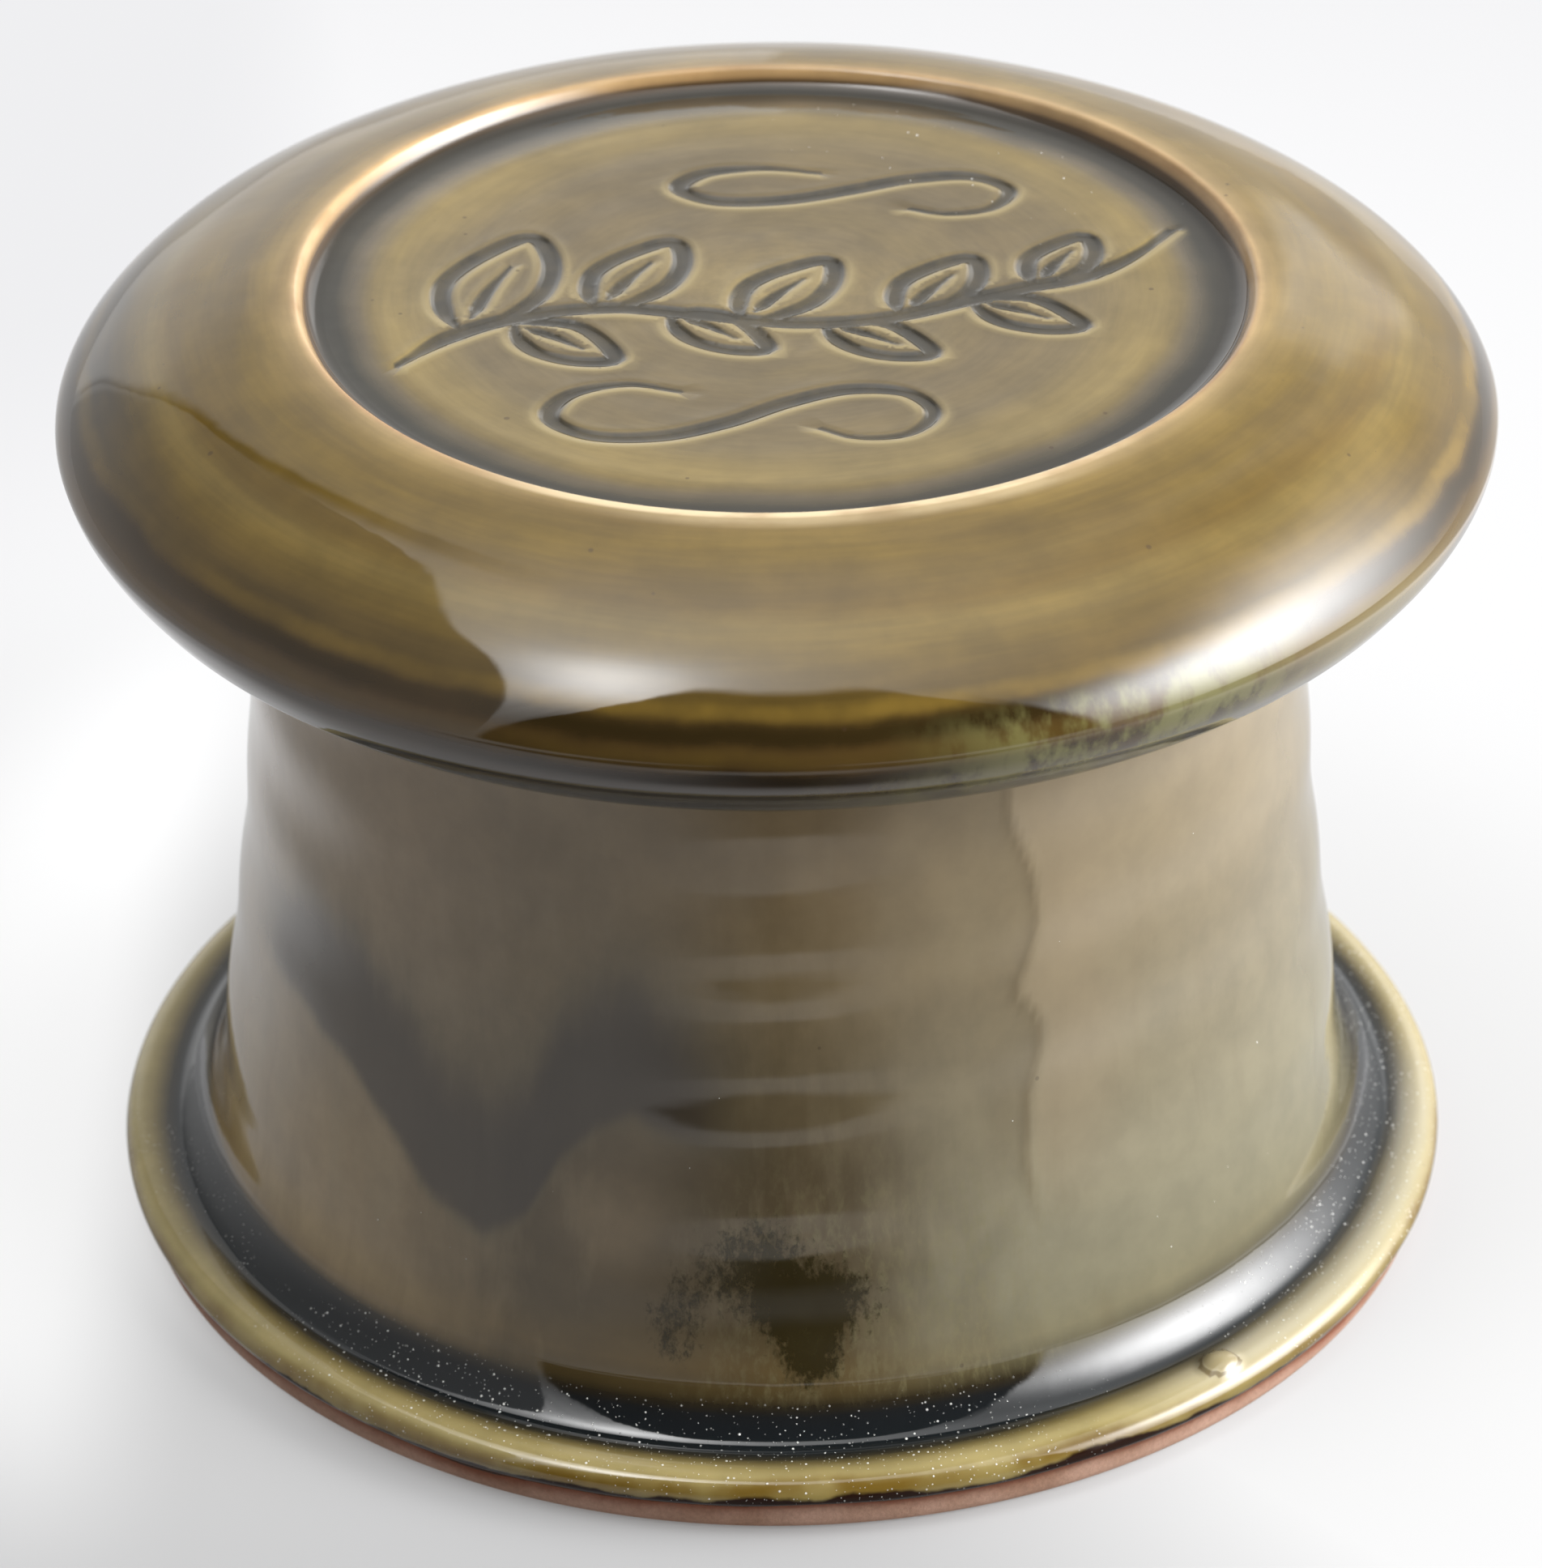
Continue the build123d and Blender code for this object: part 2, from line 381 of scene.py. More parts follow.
# thin out points that crowd each other
order = np.concatenate([near, bg])
cell = {}
kept = []
for q in order:
    key = (int(math.floor(q[0] / 0.16)), int(math.floor(q[1] / 0.16)))
    bad = False
    for ax in (-1, 0, 1):
        for ay in (-1, 0, 1):
            for o in cell.get((key[0] + ax, key[1] + ay), ()):
                if (o[0] - q[0]) ** 2 + (o[1] - q[1]) ** 2 < 0.15 ** 2:
                    bad = True
                    break
            if bad:
                break
        if bad:
            break
    if not bad:
        cell.setdefault(key, []).append(q)
        kept.append(q)
kept = np.array(kept)
# the lathe's first ring is the panel's edge
edge = xyz(R2[:1], Z2[:1], PHI[:1]).reshape(-1, 3)[:, :2]
edge0 = xyz(R[:1], Z[:1], PHI[:1]).reshape(-1, 3)[:, :2]
allp = np.vstack([edge0, kept])
cdt = geometry.delaunay_2d_cdt([Vector(p) for p in allp], [], [list(range(N_LID))], 1, 1e-7)
cv, cf, orig = cdt[0], cdt[2], cdt[3]
panel_xy = np.array([[v.x, v.y] for v in cv])
assert len(panel_xy) == len(allp), "panel triangulation made or lost points"
src = np.array([o[0] for o in orig])


def panel_height(XY):
    r = np.hypot(*XY.T)
    ph = np.degrees(np.arctan2(XY[:, 0], -XY[:, 1]))
    base = np.interp(r, top_all[:N_TOP, 0], top_all[:N_TOP, 1])
    d, hw, side = stroke_field(XY)
    cut = np.clip(-d / np.maximum(hw, 0.2), 0, 1)
    depth = 0.27 * np.minimum(1, hw / 0.8) * sstep(-0.04, 0.52, cut)
    # the tool throws up a soft burr, heavier on the side nearer the potter
    burr = 0.040 * bump(d, 0.45, 0.42) * (d > -0.25) * (0.75 + 0.35 * side)
    ring = 0.010 * spiral(r, ph, 5.6, 1.0) * sstep(2, 6, r) * (1 - sstep(31, 34, r))
    dish = -0.16 * (1 - (r / 33.0) ** 2) * (r < 33)
    q3 = np.stack([XY[:, 0], XY[:, 1], np.zeros(len(XY))], -1)
    lump_p = 0.05 * field(5, (0.05, 0.05, 0.05), q3, 2) * (1 - sstep(33, 36, r))
    fade = 1 - sstep(35.2, 36.2, r)
    return base + (burr - depth) * fade + ring + dish + lump_p, d, bump(d, 0.42, 0.38) * sstep(-0.9, 0.9, side)


pz, pd, pb = panel_height(panel_xy)
nv_panel = len(allp)
panel_v = np.column_stack([panel_xy, pz])
# edge ring: same place as the lathe's first ring
for i in range(nv_panel):
    if src[i] < N_LID:
        panel_v[i] = rim_v[0, src[i]]
lid_v = np.vstack([panel_v, rim_v[1:].reshape(-1, 3), [[0, 0, Pl[-1, 1]]]])
edge_of = np.empty(N_LID, int)
for i in range(nv_panel):
    if src[i] < N_LID:
        edge_of[src[i]] = i
faces = [list(f) for f in cf]
rows = len(Pl)
j = np.arange(N_LID)
k2 = (j + 1) % N_LID
for a, b in zip(j, k2):
    faces.append([edge_of[a], edge_of[b], nv_panel + b, nv_panel + a])
faces += quads(rows - 1, N_LID, nv_panel)
last = nv_panel + (rows - 2) * N_LID
for a, b in zip(j, k2):
    faces.append([last + a, last + b, len(lid_v) - 1])
r_panel = np.hypot(*panel_xy.T)
lid_arc = np.concatenate([r_panel, S[1:].ravel(), [s_all[-1]]])
lid_d = np.concatenate([pd, np.full((rows - 1) * N_LID + 1, 9.0)])
lid_halo = np.concatenate([pb, np.zeros((rows - 1) * N_LID + 1)])
lid = build_mesh("lid", lid_v, faces, {"arc": lid_arc, "cut": np.clip(lid_d, -3, 9), "halo": lid_halo})

# ---------------------------------------------------------------- pot
N_POT = 540
S_UNDER = arc_of(pot_under)[-1]


def pot_step(s):
    if s < -3:
        return 2.2
    if s < 20:
        return 0.40
    if s < 78:
        return 1.2
    if s < 92:
        return 0.7
    if s < 150:
        return 3.2
    return 2.8


pot_all = join(pot_under, pot_outer, pot_inner)
s_pot = arc_of(pot_all)
S0 = float(s_pot[np.argmin(np.hypot(pot_all[:, 0] - (clay_r - 0.95), pot_all[:, 1]))])
s_pot = s_pot - S0
Pp, sp = resample(pot_all, pot_step, -S0)
Pp, sp = Pp[1:-1], sp[1:-1]
R, Z, PHI, S, NR, NZ = rings(Pp, sp, N_POT)
X = xyz(R, Z, PHI)
flat = X.reshape(-1, 3)
lump = field(11, (0.022, 0.022, 0.03), flat, 2).reshape(R.shape)
outer = (S > 12) & (S < 82)
S_RIM = float(s_pot[np.argmin(np.abs(pot_all[:, 1] - RIM))])
wall = sstep(13, 22, S) * (1 - sstep(72, 80, S))
# throwing rings, finger-wide, climbing slowly round the wall
ridge = (0.110 + 0.070 * bump(PHI, -1.0, 12.0)) * np.cos(2 * math.pi * ((Z - 31.7) / 11.5 - 0.10 * np.sin(np.radians(PHI - 20)) - 0.06 * np.sin(np.radians(2 * PHI))))
disp = wall * (ridge + 0.08 * lump)
# long runs of glaze, each with a soft raised edge
DRIP_S = [16.0, 23.2, 27.0, 33.0, 40.0, 43.3, 45.8, 49.2, 52.0, 55.5, 60.3, 65.2, 78.0]
DRIP_A = [33.0, 28.0, 26.2, 25.0, 25.5, 27.2, 27.4, 24.2, 26.0, 27.5, 26.4, 24.0, 23.0]
RUNS = [(-118.0, 1.3, 42.0), (98.0, 2.2, 38.0), (161.0, 4.0, 30.0), (-160.0, 5.1, 48.0)]


def run_edge(zz, a0, seed):
    return a0 + 3.4 * np.sin(zz * 0.33 + seed) * sstep(18, 40, zz) + 1.6 * np.sin(zz * 0.9 + 2 * seed) + 0.05 * zz


run_f = np.zeros_like(R)
for a0, seed, z0 in RUNS:
    dd = wrap(PHI - run_edge(Z, a0, seed)) * math.pi / 180.0 * R
    run_f = run_f + bump(dd, 0.0, 0.45) * sstep(z0 - 6, z0, Z) * (S < 80)
# the longest one runs down the front, right of the middle
fine_s = np.linspace(DRIP_S[0], DRIP_S[-1], 249)
fine_a = np.interp(fine_s, DRIP_S, DRIP_A)
fine_a = np.convolve(np.pad(fine_a, 5, mode="edge"), np.hanning(11) / np.hanning(11).sum(), mode="valid")
drip = wrap(PHI - np.interp(S, fine_s, fine_a)) * math.pi / 180.0 * R
run_f = run_f + bump(drip, 0.0, 0.42) * sstep(25, 33, S) * (S < 80)
disp = disp + wall * 0.10 * run_f
inner_wall = sstep(S_RIM + 6, S_RIM + 12, S) * (S < S_RIM + 62)
disp = disp + inner_wall * (0.16 * np.cos(2 * math.pi * (Z / 9.0 + PHI / 360.0)) + 0.1 * lump)
# glaze line at the foot: the glaze ends in a thick uneven roll
dr = lobes(PHI, S, 0.8) * sstep(20, 40, R)
gl_wave = (0.42 * np.sin(np.radians(2.0 * PHI + 70)) + 0.26 * np.sin(np.radians(5.0 * PHI + 10)) +
           0.20 * np.sin(np.radians(9.0 * PHI + 130)) + 0.14 * np.sin(np.radians(17.0 * PHI + 30)) +
           0.08 * np.sin(np.radians(31.0 * PHI)))
GL = 3.35 + gl_wave * 0.9                                  # arc position of the glaze line
roll = 0.13 * bump(S, GL + 0.45, 0.42) - 0.05 * (1 - sstep(GL - 0.2, GL + 0.3, S)) * sstep(-0.5, 0.8, S)
disp = disp + roll * (S > -0.5) * (S < 8)
# one bead of clear glaze that ran to the rim and froze
BEAD = (40.8, 8.0)
bd_s = (S - BEAD[1]) / 1.55
bd_a = wrap(PHI - BEAD[0]) * math.pi / 180 * 56.5 / (1.75 - 0.25 * np.clip(bd_s, -1, 1))
bead = np.clip(1 - bd_s ** 2 - bd_a ** 2, 0, 1) ** 0.5 * (S < 20) * (S > 3)
disp = disp + 0.62 * bead
R2 = np.minimum(R + disp * NR + dr, FOOT_R - 0.002)
Z2 = np.clip(Z + disp * NZ, 0.0, RIM)
flat_foot = (S < 0.2) & (Z < 0.02)
Z2 = np.where(flat_foot, 0.0, Z2)
land = (np.abs(Z - RIM) < 1e-3)
Z2 = np.where(land, RIM, Z2)
pv = np.vstack([xyz(R2, Z2, PHI).reshape(-1, 3), [[0, 0, 1.4]], [[0, 0, 6.8]]])
faces = quads(len(Pp), N_POT, 0)
nb = len(Pp) * N_POT
j = np.arange(N_POT)
k2 = (j + 1) % N_POT
faces += [[nb, b, a] for a, b in zip(j, k2)]
lastr = (len(Pp) - 1) * N_POT
faces += [[nb + 1, lastr + a, lastr + b] for a, b in zip(j, k2)]


def with_ends(a, e0, e1):
    return np.concatenate([a.ravel(), [e0, e1]])


# slate streaks: where the darker glaze ends on its way down the wall
SPIKES = [(70, 9.0, 13.0), (104, 15.0, 11.0), (142, 8.0, 12.0), (172, 16.0, 10.0), (-150, 9.0, 12.0), (-119, 15.0, 10.0)]
low = np.full_like(PHI, 36.5) + 1.2 * np.sin(np.radians(3 * PHI + 60)) + 0.8 * np.sin(np.radians(7 * PHI))
for a0, depth, wd in SPIKES:
    low = low - depth * np.exp(-np.abs(wrap(PHI - a0) / wd) ** 1.5)
FRONT_A = [-100.0, -84.0, -70.0, -56.0, -49.0, -43.0, -36.0, -30.5, -26.0, -22.5, -19.0, -15.0, -10.0, -4.0, 6.0, 20.0]
FRONT_S = [38.0, 37.5, 37.0, 36.4, 34.4, 30.6, 26.4, 24.6, 27.6, 34.0, 37.2, 38.6, 37.0, 35.0, 35.0, 36.0]
front = np.interp(PHI, FRONT_A, FRONT_S)
in_front = sstep(-104, -92, PHI) * (1 - sstep(10, 20, PHI))
low = low + (front - low) * in_front
low = low + 0.22 * np.sin(np.radians(23 * PHI + 50)) + 0.15 * np.sin(np.radians(41 * PHI))
strength = sstep(-82, -58, PHI) * (1 - sstep(-16, 6, PHI)) + 0.75 * (1 - sstep(-116, -98, PHI) * (1 - sstep(80, 98, PHI)))
slate = sstep(-2.0, 3.0, S - low) * (1 - sstep(4.5, 25.0 - 11.0 * bump(PHI, -70.0, 15.0), S - low)) * np.clip(strength, 0, 1)
slate = slate * (S < 80) * (S > 12)
pot = build_mesh("pot", pv, faces, {"arc": with_ends(S, -60, 200), "gl": with_ends(S - GL, -60, 60),
                                    "slate": with_ends(slate, 0, 0), "run": with_ends(run_f, 0, 0),
                                    "bead": with_ends(bead, 0, 0), "drip": with_ends(np.clip(drip, -30, 30), -30, -30)})

# ---------------------------------------------------------------- cup under the lid
N_BELL = 420


def bell_step(s):
    return 0.5 if s < 8 or 46 < s < 66 else 1.5


Pb, sb = resample(bell_out, bell_step, 0.0)
Pb, sb = Pb[:-1], sb[:-1]
R, Z, PHI, S, NR, NZ = rings(Pb, sb, N_BELL)
NR, NZ = -NR, -NZ
joint = Z > SEAT - 0.02
lump = field(21, (0.03, 0.03, 0.03), xyz(R, Z, PHI).reshape(-1, 3), 2).reshape(R.shape)
mid = sstep(MOUTH + 3, MOUTH + 9, Z) * (1 - sstep(SEAT - 8, SEAT - 3, Z))
disp = mid * (0.14 * np.cos(2 * math.pi * (Z / 8.2 + PHI / 360)) + 0.10 * lump)
R2 = R + disp * NR + lobes(PHI, S, 0.5) * (~joint)
R2 = np.where(joint, R, R2)
Z2 = np.where(joint, SEAT, Z + disp * NZ)
bv = xyz(R2, Z2, PHI).reshape(-1, 3)
faces = quads(len(Pb), N_BELL, 0)
lastr = (len(Pb) - 1) * N_BELL
j = np.arange(N_BELL)
k2 = (j + 1) % N_BELL
faces += [[lastr + a, lastr + b, b, a] for a, b in zip(j, k2)]
s_mouth = float(sb[np.argmin(Pb[:, 1])])
bell = build_mesh("cup_under_lid", bv, faces, {"arc": S.ravel() - s_mouth})


# ================================================================ shader maths
class Sock:
    """A node output that can be added, multiplied and so on."""

    def __init__(self, g, out):
        self.g, self.out = g, out

    def __add__(self, o):
        return self.g.m("ADD", self, o)

    def __radd__(self, o):
        return self.g.m("ADD", o, self)

    def __sub__(self, o):
        return self.g.m("SUBTRACT", self, o)

    def __rsub__(self, o):
        return self.g.m("SUBTRACT", o, self)

    def __mul__(self, o):
        return self.g.m("MULTIPLY", self, o)

    def __rmul__(self, o):
        return self.g.m("MULTIPLY", o, self)

    def __truediv__(self, o):
        return self.g.m("DIVIDE", self, o)


class Graph:
    def __init__(self, tree):
        self.t = tree
        tree.nodes.clear()

    def put(self, inp, x):
        if isinstance(x, Sock):
            self.t.links.new(x.out, inp)
        elif isinstance(x, (tuple, list)) and inp.type == "RGBA" and len(x) == 3:
            inp.default_value = (*x, 1.0)
        else:
            inp.default_value = x

    def node(self, kind, **props):
        n = self.t.nodes.new(kind)
        for k, v in props.items():
            setattr(n, k, v)
        return n

    def m(self, op, *a, clamp=False):
        n = self.node("ShaderNodeMath", operation=op, use_clamp=clamp)
        for i, x in enumerate(a):
            self.put(n.inputs[i], x)
        return Sock(self, n.outputs[0])

    def smooth(self, a, b, x, lo=0.0, hi=1.0):
        n = self.node("ShaderNodeMapRange", interpolation_type="SMOOTHSTEP")
        for k, v in (("Value", x), ("From Min", a), ("From Max", b), ("To Min", lo), ("To Max", hi)):
            self.put(n.inputs[k], v)
        return Sock(self, n.outputs[0])

    def band(self, x, c, w):
        d = (x - c) / w
        return self.m("POWER", math.e, self.m("MULTIPLY", self.m("MULTIPLY", d, d), -1.0))

    def window(self, x, a, b, soft):
        return self.smooth(a - soft, a + soft, x) * (1.0 - self.smooth(b - soft, b + soft, x))

    def mix(self, f, a, b):
        n = self.node("ShaderNodeMix", data_type="RGBA", clamp_factor=True)
        self.put(n.inputs[0], f)
        self.put(n.inputs[6], a)
        self.put(n.inputs[7], b)
        return Sock(self, n.outputs[2])

    def scale(self, col, f):
        n = self.node("ShaderNodeMix", data_type="RGBA", blend_type="MULTIPLY")
        self.put(n.inputs[0], 1.0)
        self.put(n.inputs[6], col)
        c = self.node("ShaderNodeCombineColor")
        for i in range(3):
            self.put(c.inputs[i], f)
        self.t.links.new(c.outputs[0], n.inputs[7])
        return Sock(self, n.outputs[2])

    def vec(self, x, y, z):
        n = self.node("ShaderNodeCombineXYZ")
        for i, v in enumerate((x, y, z)):
            self.put(n.inputs[i], v)
        return Sock(self, n.outputs[0])

    def xyz(self, v):
        n = self.node("ShaderNodeSeparateXYZ")
        self.put(n.inputs[0], v)
        return [Sock(self, o) for o in n.outputs]

    def noise(self, v, scale, detail=3.0, rough=0.55, distort=0.0):
        n = self.node("ShaderNodeTexNoise")
        for k, x in (("Vector", v), ("Scale", scale), ("Detail", detail), ("Roughness", rough), ("Distortion", distort)):
            self.put(n.inputs[k], x)
        return Sock(self, n.outputs["Fac"])

    def specks(self, v, scale, size, share):
        """1 inside small round specks, 0 elsewhere. size is a share of a cell, share is how many cells have one."""
        n = self.node("ShaderNodeTexVoronoi")
        self.put(n.inputs["Vector"], v)
        self.put(n.inputs["Scale"], scale)
        c = self.node("ShaderNodeSeparateColor")
        self.t.links.new(n.outputs["Color"], c.inputs[0])
        pick = self.m("LESS_THAN", Sock(self, c.outputs[0]), share)
        r = Sock(self, c.outputs[1]) * size * 0.7 + size * 0.3
        near = 1.0 - self.smooth(r * 0.6, r, Sock(self, n.outputs["Distance"]))
        return pick * near

    def ramp(self, x, stops, top, mode="LINEAR"):
        n = self.node("ShaderNodeValToRGB")
        self.put(n.inputs[0], x / top)
        e = n.color_ramp.elements
        n.color_ramp.interpolation = mode
        while len(e) > 1:
            e.remove(e[-1])
        e[0].position, e[0].color = stops[0][0] / top, (*stops[0][1], 1)
        for p, c in stops[1:]:
            q = e.new(p / top)
            q.color = (*c, 1)
        return Sock(self, n.outputs[0])

    def attr(self, name):
        n = self.node("ShaderNodeAttribute", attribute_name=name)
        return Sock(self, n.outputs["Fac"])

    def coords(self):
        """Object coordinates in millimetres: vector, x, y, z, radius, azimuth in degrees, and unit x and y."""
        n = self.node("ShaderNodeTexCoord")
        sc = self.node("ShaderNodeVectorMath", operation="SCALE")
        self.t.links.new(n.outputs["Object"], sc.inputs[0])
        sc.inputs["Scale"].default_value = 1000.0
        v = Sock(self, sc.outputs[0])
        x, y, z = self.xyz(v)
        r = self.m("MAXIMUM", self.m("SQRT", x * x + y * y), 0.01)
        az = self.m("MULTIPLY", self.m("ARCTAN2", x, self.m("MULTIPLY", y, -1.0)), 180 / math.pi)
        return v, x, y, z, r, az, x / r, y / r

    def glaze(self, col, rough, height, clay, dull=0.0):
        b = self.node("ShaderNodeBump")
        b.inputs["Strength"].default_value = 1.0
        b.inputs["Distance"].default_value = 0.001
        self.put(b.inputs["Height"], height)
        p = self.node("ShaderNodeBsdfPrincipled")
        self.put(p.inputs["Base Color"], col)
        self.put(p.inputs["Roughness"], rough)
        self.put(p.inputs["IOR"], 1.52)
        self.put(p.inputs["Specular IOR Level"], self.m("MAXIMUM", 0.5 - 0.3 * clay - dull, 0.02))
        self.t.links.new(b.outputs[0], p.inputs["Normal"])
        o = self.node("ShaderNodeOutputMaterial")
        self.t.links.new(p.outputs[0], o.inputs[0])


def material(name):
    m = bpy.data.materials.new(name)
    m.use_nodes = True
    return m, Graph(m.node_tree)


CLAY = (0.225, 0.145, 0.112)
CLAY_HOT = (0.36, 0.16, 0.07)
CLAY_DARK = (0.150, 0.088, 0.060)

# ---------------------------------------------------------------- lid glaze
mat_lid, g = material("glaze_lid")
v, x, y, z, r, az, ux, uy = g.coords()
arc = g.attr("arc")
wob = g.noise(v, 0.055, 2.0) - 0.5
sarc = arc + wob * 2.2 * g.smooth(5, 20, arc) * (1.0 - g.smooth(36.0, 39.0, arc) + g.smooth(42.0, 48.0, arc))
A = g.ramp(sarc, [
    (0, (.140, .104, .046)), (3.0, (.158, .118, .050)), (8.0, (.122, .090, .040)), (14, (.104, .077, .034)), (20, (.100, .073, .033)),
    (26, (.108, .080, .036)), (29.5, (.138, .100, .036)), (31.8, (.158, .114, .038)), (33.2, (.120, .086, .030)),
    (34.6, (.075, .058, .034)), (36.2, (.024, .020, .012)), (38.2, (.014, .011, .006)), (39.1, (.055, .032, .013)),
    (39.6, (.31, .20, .090)), (40.4, (.36, .25, .125)), (41.3, (.235, .165, .070)), (42.8, (.155, .104, .028)),
    (45.0, (.120, .077, .012)), (48.0, (.116, .075, .011)), (51.0, (.104, .064, .010)), (53.0, (.138, .094, .022)),
    (55.5, (.112, .072, .012)), (57.5, (.092, .058, .012)), (59.5, (.066, .042, .009)), (61.0, (.042, .024, .006)),
    (62.5, (.050, .028, .008)), (64.5, (.058, .032, .009)), (66.5, (.042, .026, .012)), (68.5, (.060, .052, .040)),
    (70.4, (.050, .043, .033)), (74.0, (.080, .054, .020)), (80.0, (.070, .048, .020))], 100.0)
B = g.ramp(sarc, [
    (0, (.110, .084, .044)), (3.0, (.118, .090, .046)), (8.0, (.090, .068, .036)), (14, (.074, .056, .031)), (20, (.078, .059, .031)),
    (26, (.086, .065, .034)), (29.5, (.108, .081, .036)), (31.8, (.124, .092, .038)), (33.2, (.094, .070, .030)),
    (34.6, (.060, .049, .031)), (36.2, (.018, .017, .012)), (38.2, (.012, .010, .006)), (39.1, (.042, .024, .011)),
    (39.6, (.25, .150, .062)), (40.3, (.28, .180, .086)), (41.0, (.135, .090, .034)), (42.4, (.092, .060, .018)),
    (45.0, (.068, .044, .012)), (48.0, (.078, .050, .014)), (51.0, (.072, .046, .012)), (53.0, (.084, .057, .018)),
    (55.5, (.070, .046, .012)), (57.5, (.060, .039, .011)), (59.5, (.040, .026, .008)), (61.0, (.028, .017, .006)),
    (62.5, (.036, .021, .007)), (64.5, (.042, .025, .009)), (66.5, (.030, .020, .012)), (68.5, (.048, .045, .038)),
    (70.4, (.042, .038, .031)), (74.0, (.060, .042, .018)), (80.0, (.054, .040, .019))], 100.0)
around = g.vec(ux * 1.2, uy * 1.2, arc * 0.16)
t1 = g.smooth(0.34, 0.66, g.noise(around, 1.0, 3.0, 0.5, 0.3))
t2 = g.smooth(0.35, 0.66, g.noise(v, 0.05, 2.0))
right = g.window(az, -10, 130, 30.0)
tone = g.m("ADD", t1 * 0.62 + t2 * 0.25, (1.0 - right) * 0.12 - 0.02 - 0.22 * (1.0 - g.smooth(34.0, 40.0, arc)), clamp=True)
col = g.mix(tone, A, B)
# fine brushed rings left by the wheel
fine = g.noise(g.vec(ux * 5.0, uy * 5.0, arc * 1.5), 1.0, 4.0, 0.6)
col = g.scale(col, g.smooth(0.25, 0.75, fine, 0.93, 1.07))
cloud = g.noise(v, 0.16, 4.0, 0.6)
col = g.scale(col, g.smooth(0.25, 0.75, cloud, 0.88, 1.13))
# slate band low on the left shoulder
slate = g.band(sarc, 58.0, 3.0) * (1.0 - g.smooth(-82.0, -52.0, az)) * g.smooth(-150.0, -100.0, az)
col = g.mix(slate * g.smooth(0.3, 0.7, g.noise(around, 2.0, 3.0), 0.35, 0.9), col, (.016, .012, .007))
# rolled edge: the glaze gathers in bands of gold, brown and near black; at the front the bands are forced on, and there
# they are painted reflection of the dark flat behind the camera
lip = arc + (g.noise(v, 0.10, 4.0, 0.6) - 0.5) * 2.2
lip_bands_and_reflection = g.smooth(0.30, 0.62, g.noise(g.vec(ux * 1.6, uy * 1.6, 0.3), 1.0, 2.0), 0.45, 1.0)
# painted reflection: at the front the bands are always on, standing in for the dark flat reflected in the rolled edge
lip_bands_and_reflection = g.m("MAXIMUM", lip_bands_and_reflection, g.window(az, -24.0, 26.0, 6.0))
patch = g.smooth(0.34, 0.64, g.noise(g.vec(ux * 7.0, uy * 7.0, arc * 0.12), 1.0, 3.0, 0.6), 0.45, 1.0)
col = g.mix(g.window(lip, 59.2, 60.6, 0.6) * lip_bands_and_reflection * patch * 0.55, col, (.165, .104, .018))
col = g.mix(g.window(lip, 61.0, 62.6, 0.7) * lip_bands_and_reflection * 0.8, col, (.014, .009, .002))
col = g.mix(g.window(lip, 63.0, 64.4, 0.7) * lip_bands_and_reflection * patch * 0.6, col, (.075, .047, .009))
col = g.mix(g.window(lip, 64.9, 66.2, 0.6) * lip_bands_and_reflection * 0.8, col, (.012, .008, .003))
# green-gold mottle under the rolled edge, right of centre
mott = g.noise(g.vec(ux * 22.0, uy * 22.0, arc * 0.22), 1.0, 4.0, 0.62)
mg = g.window(arc, 61.5, 68.0, 1.3) * g.window(az, 15.0, 40.0, 8.0) * g.smooth(0.36, 0.60, mott)
col = g.mix(mg * 0.85, col, (.125, .118, .042))
mg = g.window(arc, 66.0, 71.0, 1.2) * g.window(az, 6.0, 66.0, 10.0) * g.smooth(0.42, 0.66, mott)
col = g.mix(mg * 0.55, col, (.120, .105, .048))
cr = g.window(arc, 63.5, 69.5, 1.0) * g.window(az, 42.0, 62.0, 9.0)
col = g.mix(cr * 0.45, col, (.22, .180, .085))
# crest: glaze broken thin over the edge, rust in places
crest = g.window(arc, 39.55, 40.55, 0.28)
crest = g.m("MAXIMUM", crest, g.window(arc, 39.2, 41.2, 0.3) * g.window(az, -38.0, 46.0, 8.0))
crest = g.m("MAXIMUM", crest, g.window(arc, 40.0, 42.2, 0.6) * g.window(az, -14.0, 40.0, 12.0) * 0.36)
rust = g.smooth(0.46, 0.66, g.noise(g.vec(ux * 3.0, uy * 3.0, arc * 0.2), 1.0, 4.0, 0.6))
rusty = g.m('MAXIMUM', rust * 0.45, g.m('MAXIMUM', g.band(az, -50.0, 18.0), g.band(az, 62.0, 16.0)) * 0.7)
col = g.mix(crest * (1.0 - rusty) * (g.window(az, -34.0, 44.0, 12.0) * 0.9 + g.window(az, -110.0, -66.0, 10.0) * 0.25), col, (.52, .42, .26))
col = g.mix(crest * rusty * 0.75, col, (.200, .095, .034))
# the cut strokes
cut = g.attr("cut")
halo = g.attr("halo")
inside = 1.0 - g.smooth(-0.26, 0.10, cut)
pool = g.smooth(0.3, 0.7, g.noise(v, 0.35, 3.0), 0.78, 1.0)
col = g.mix(g.m("MULTIPLY", halo, 0.85), col, (.240, .190, .090))
col = g.mix(inside * pool * 0.95, col, (.020, .018, .013))
# iron specks
sp = g.specks(v, 0.42, 0.13, 0.16)
col = g.mix(sp * 0.55 * (1.0 - crest), col, (.035, .02, .01))
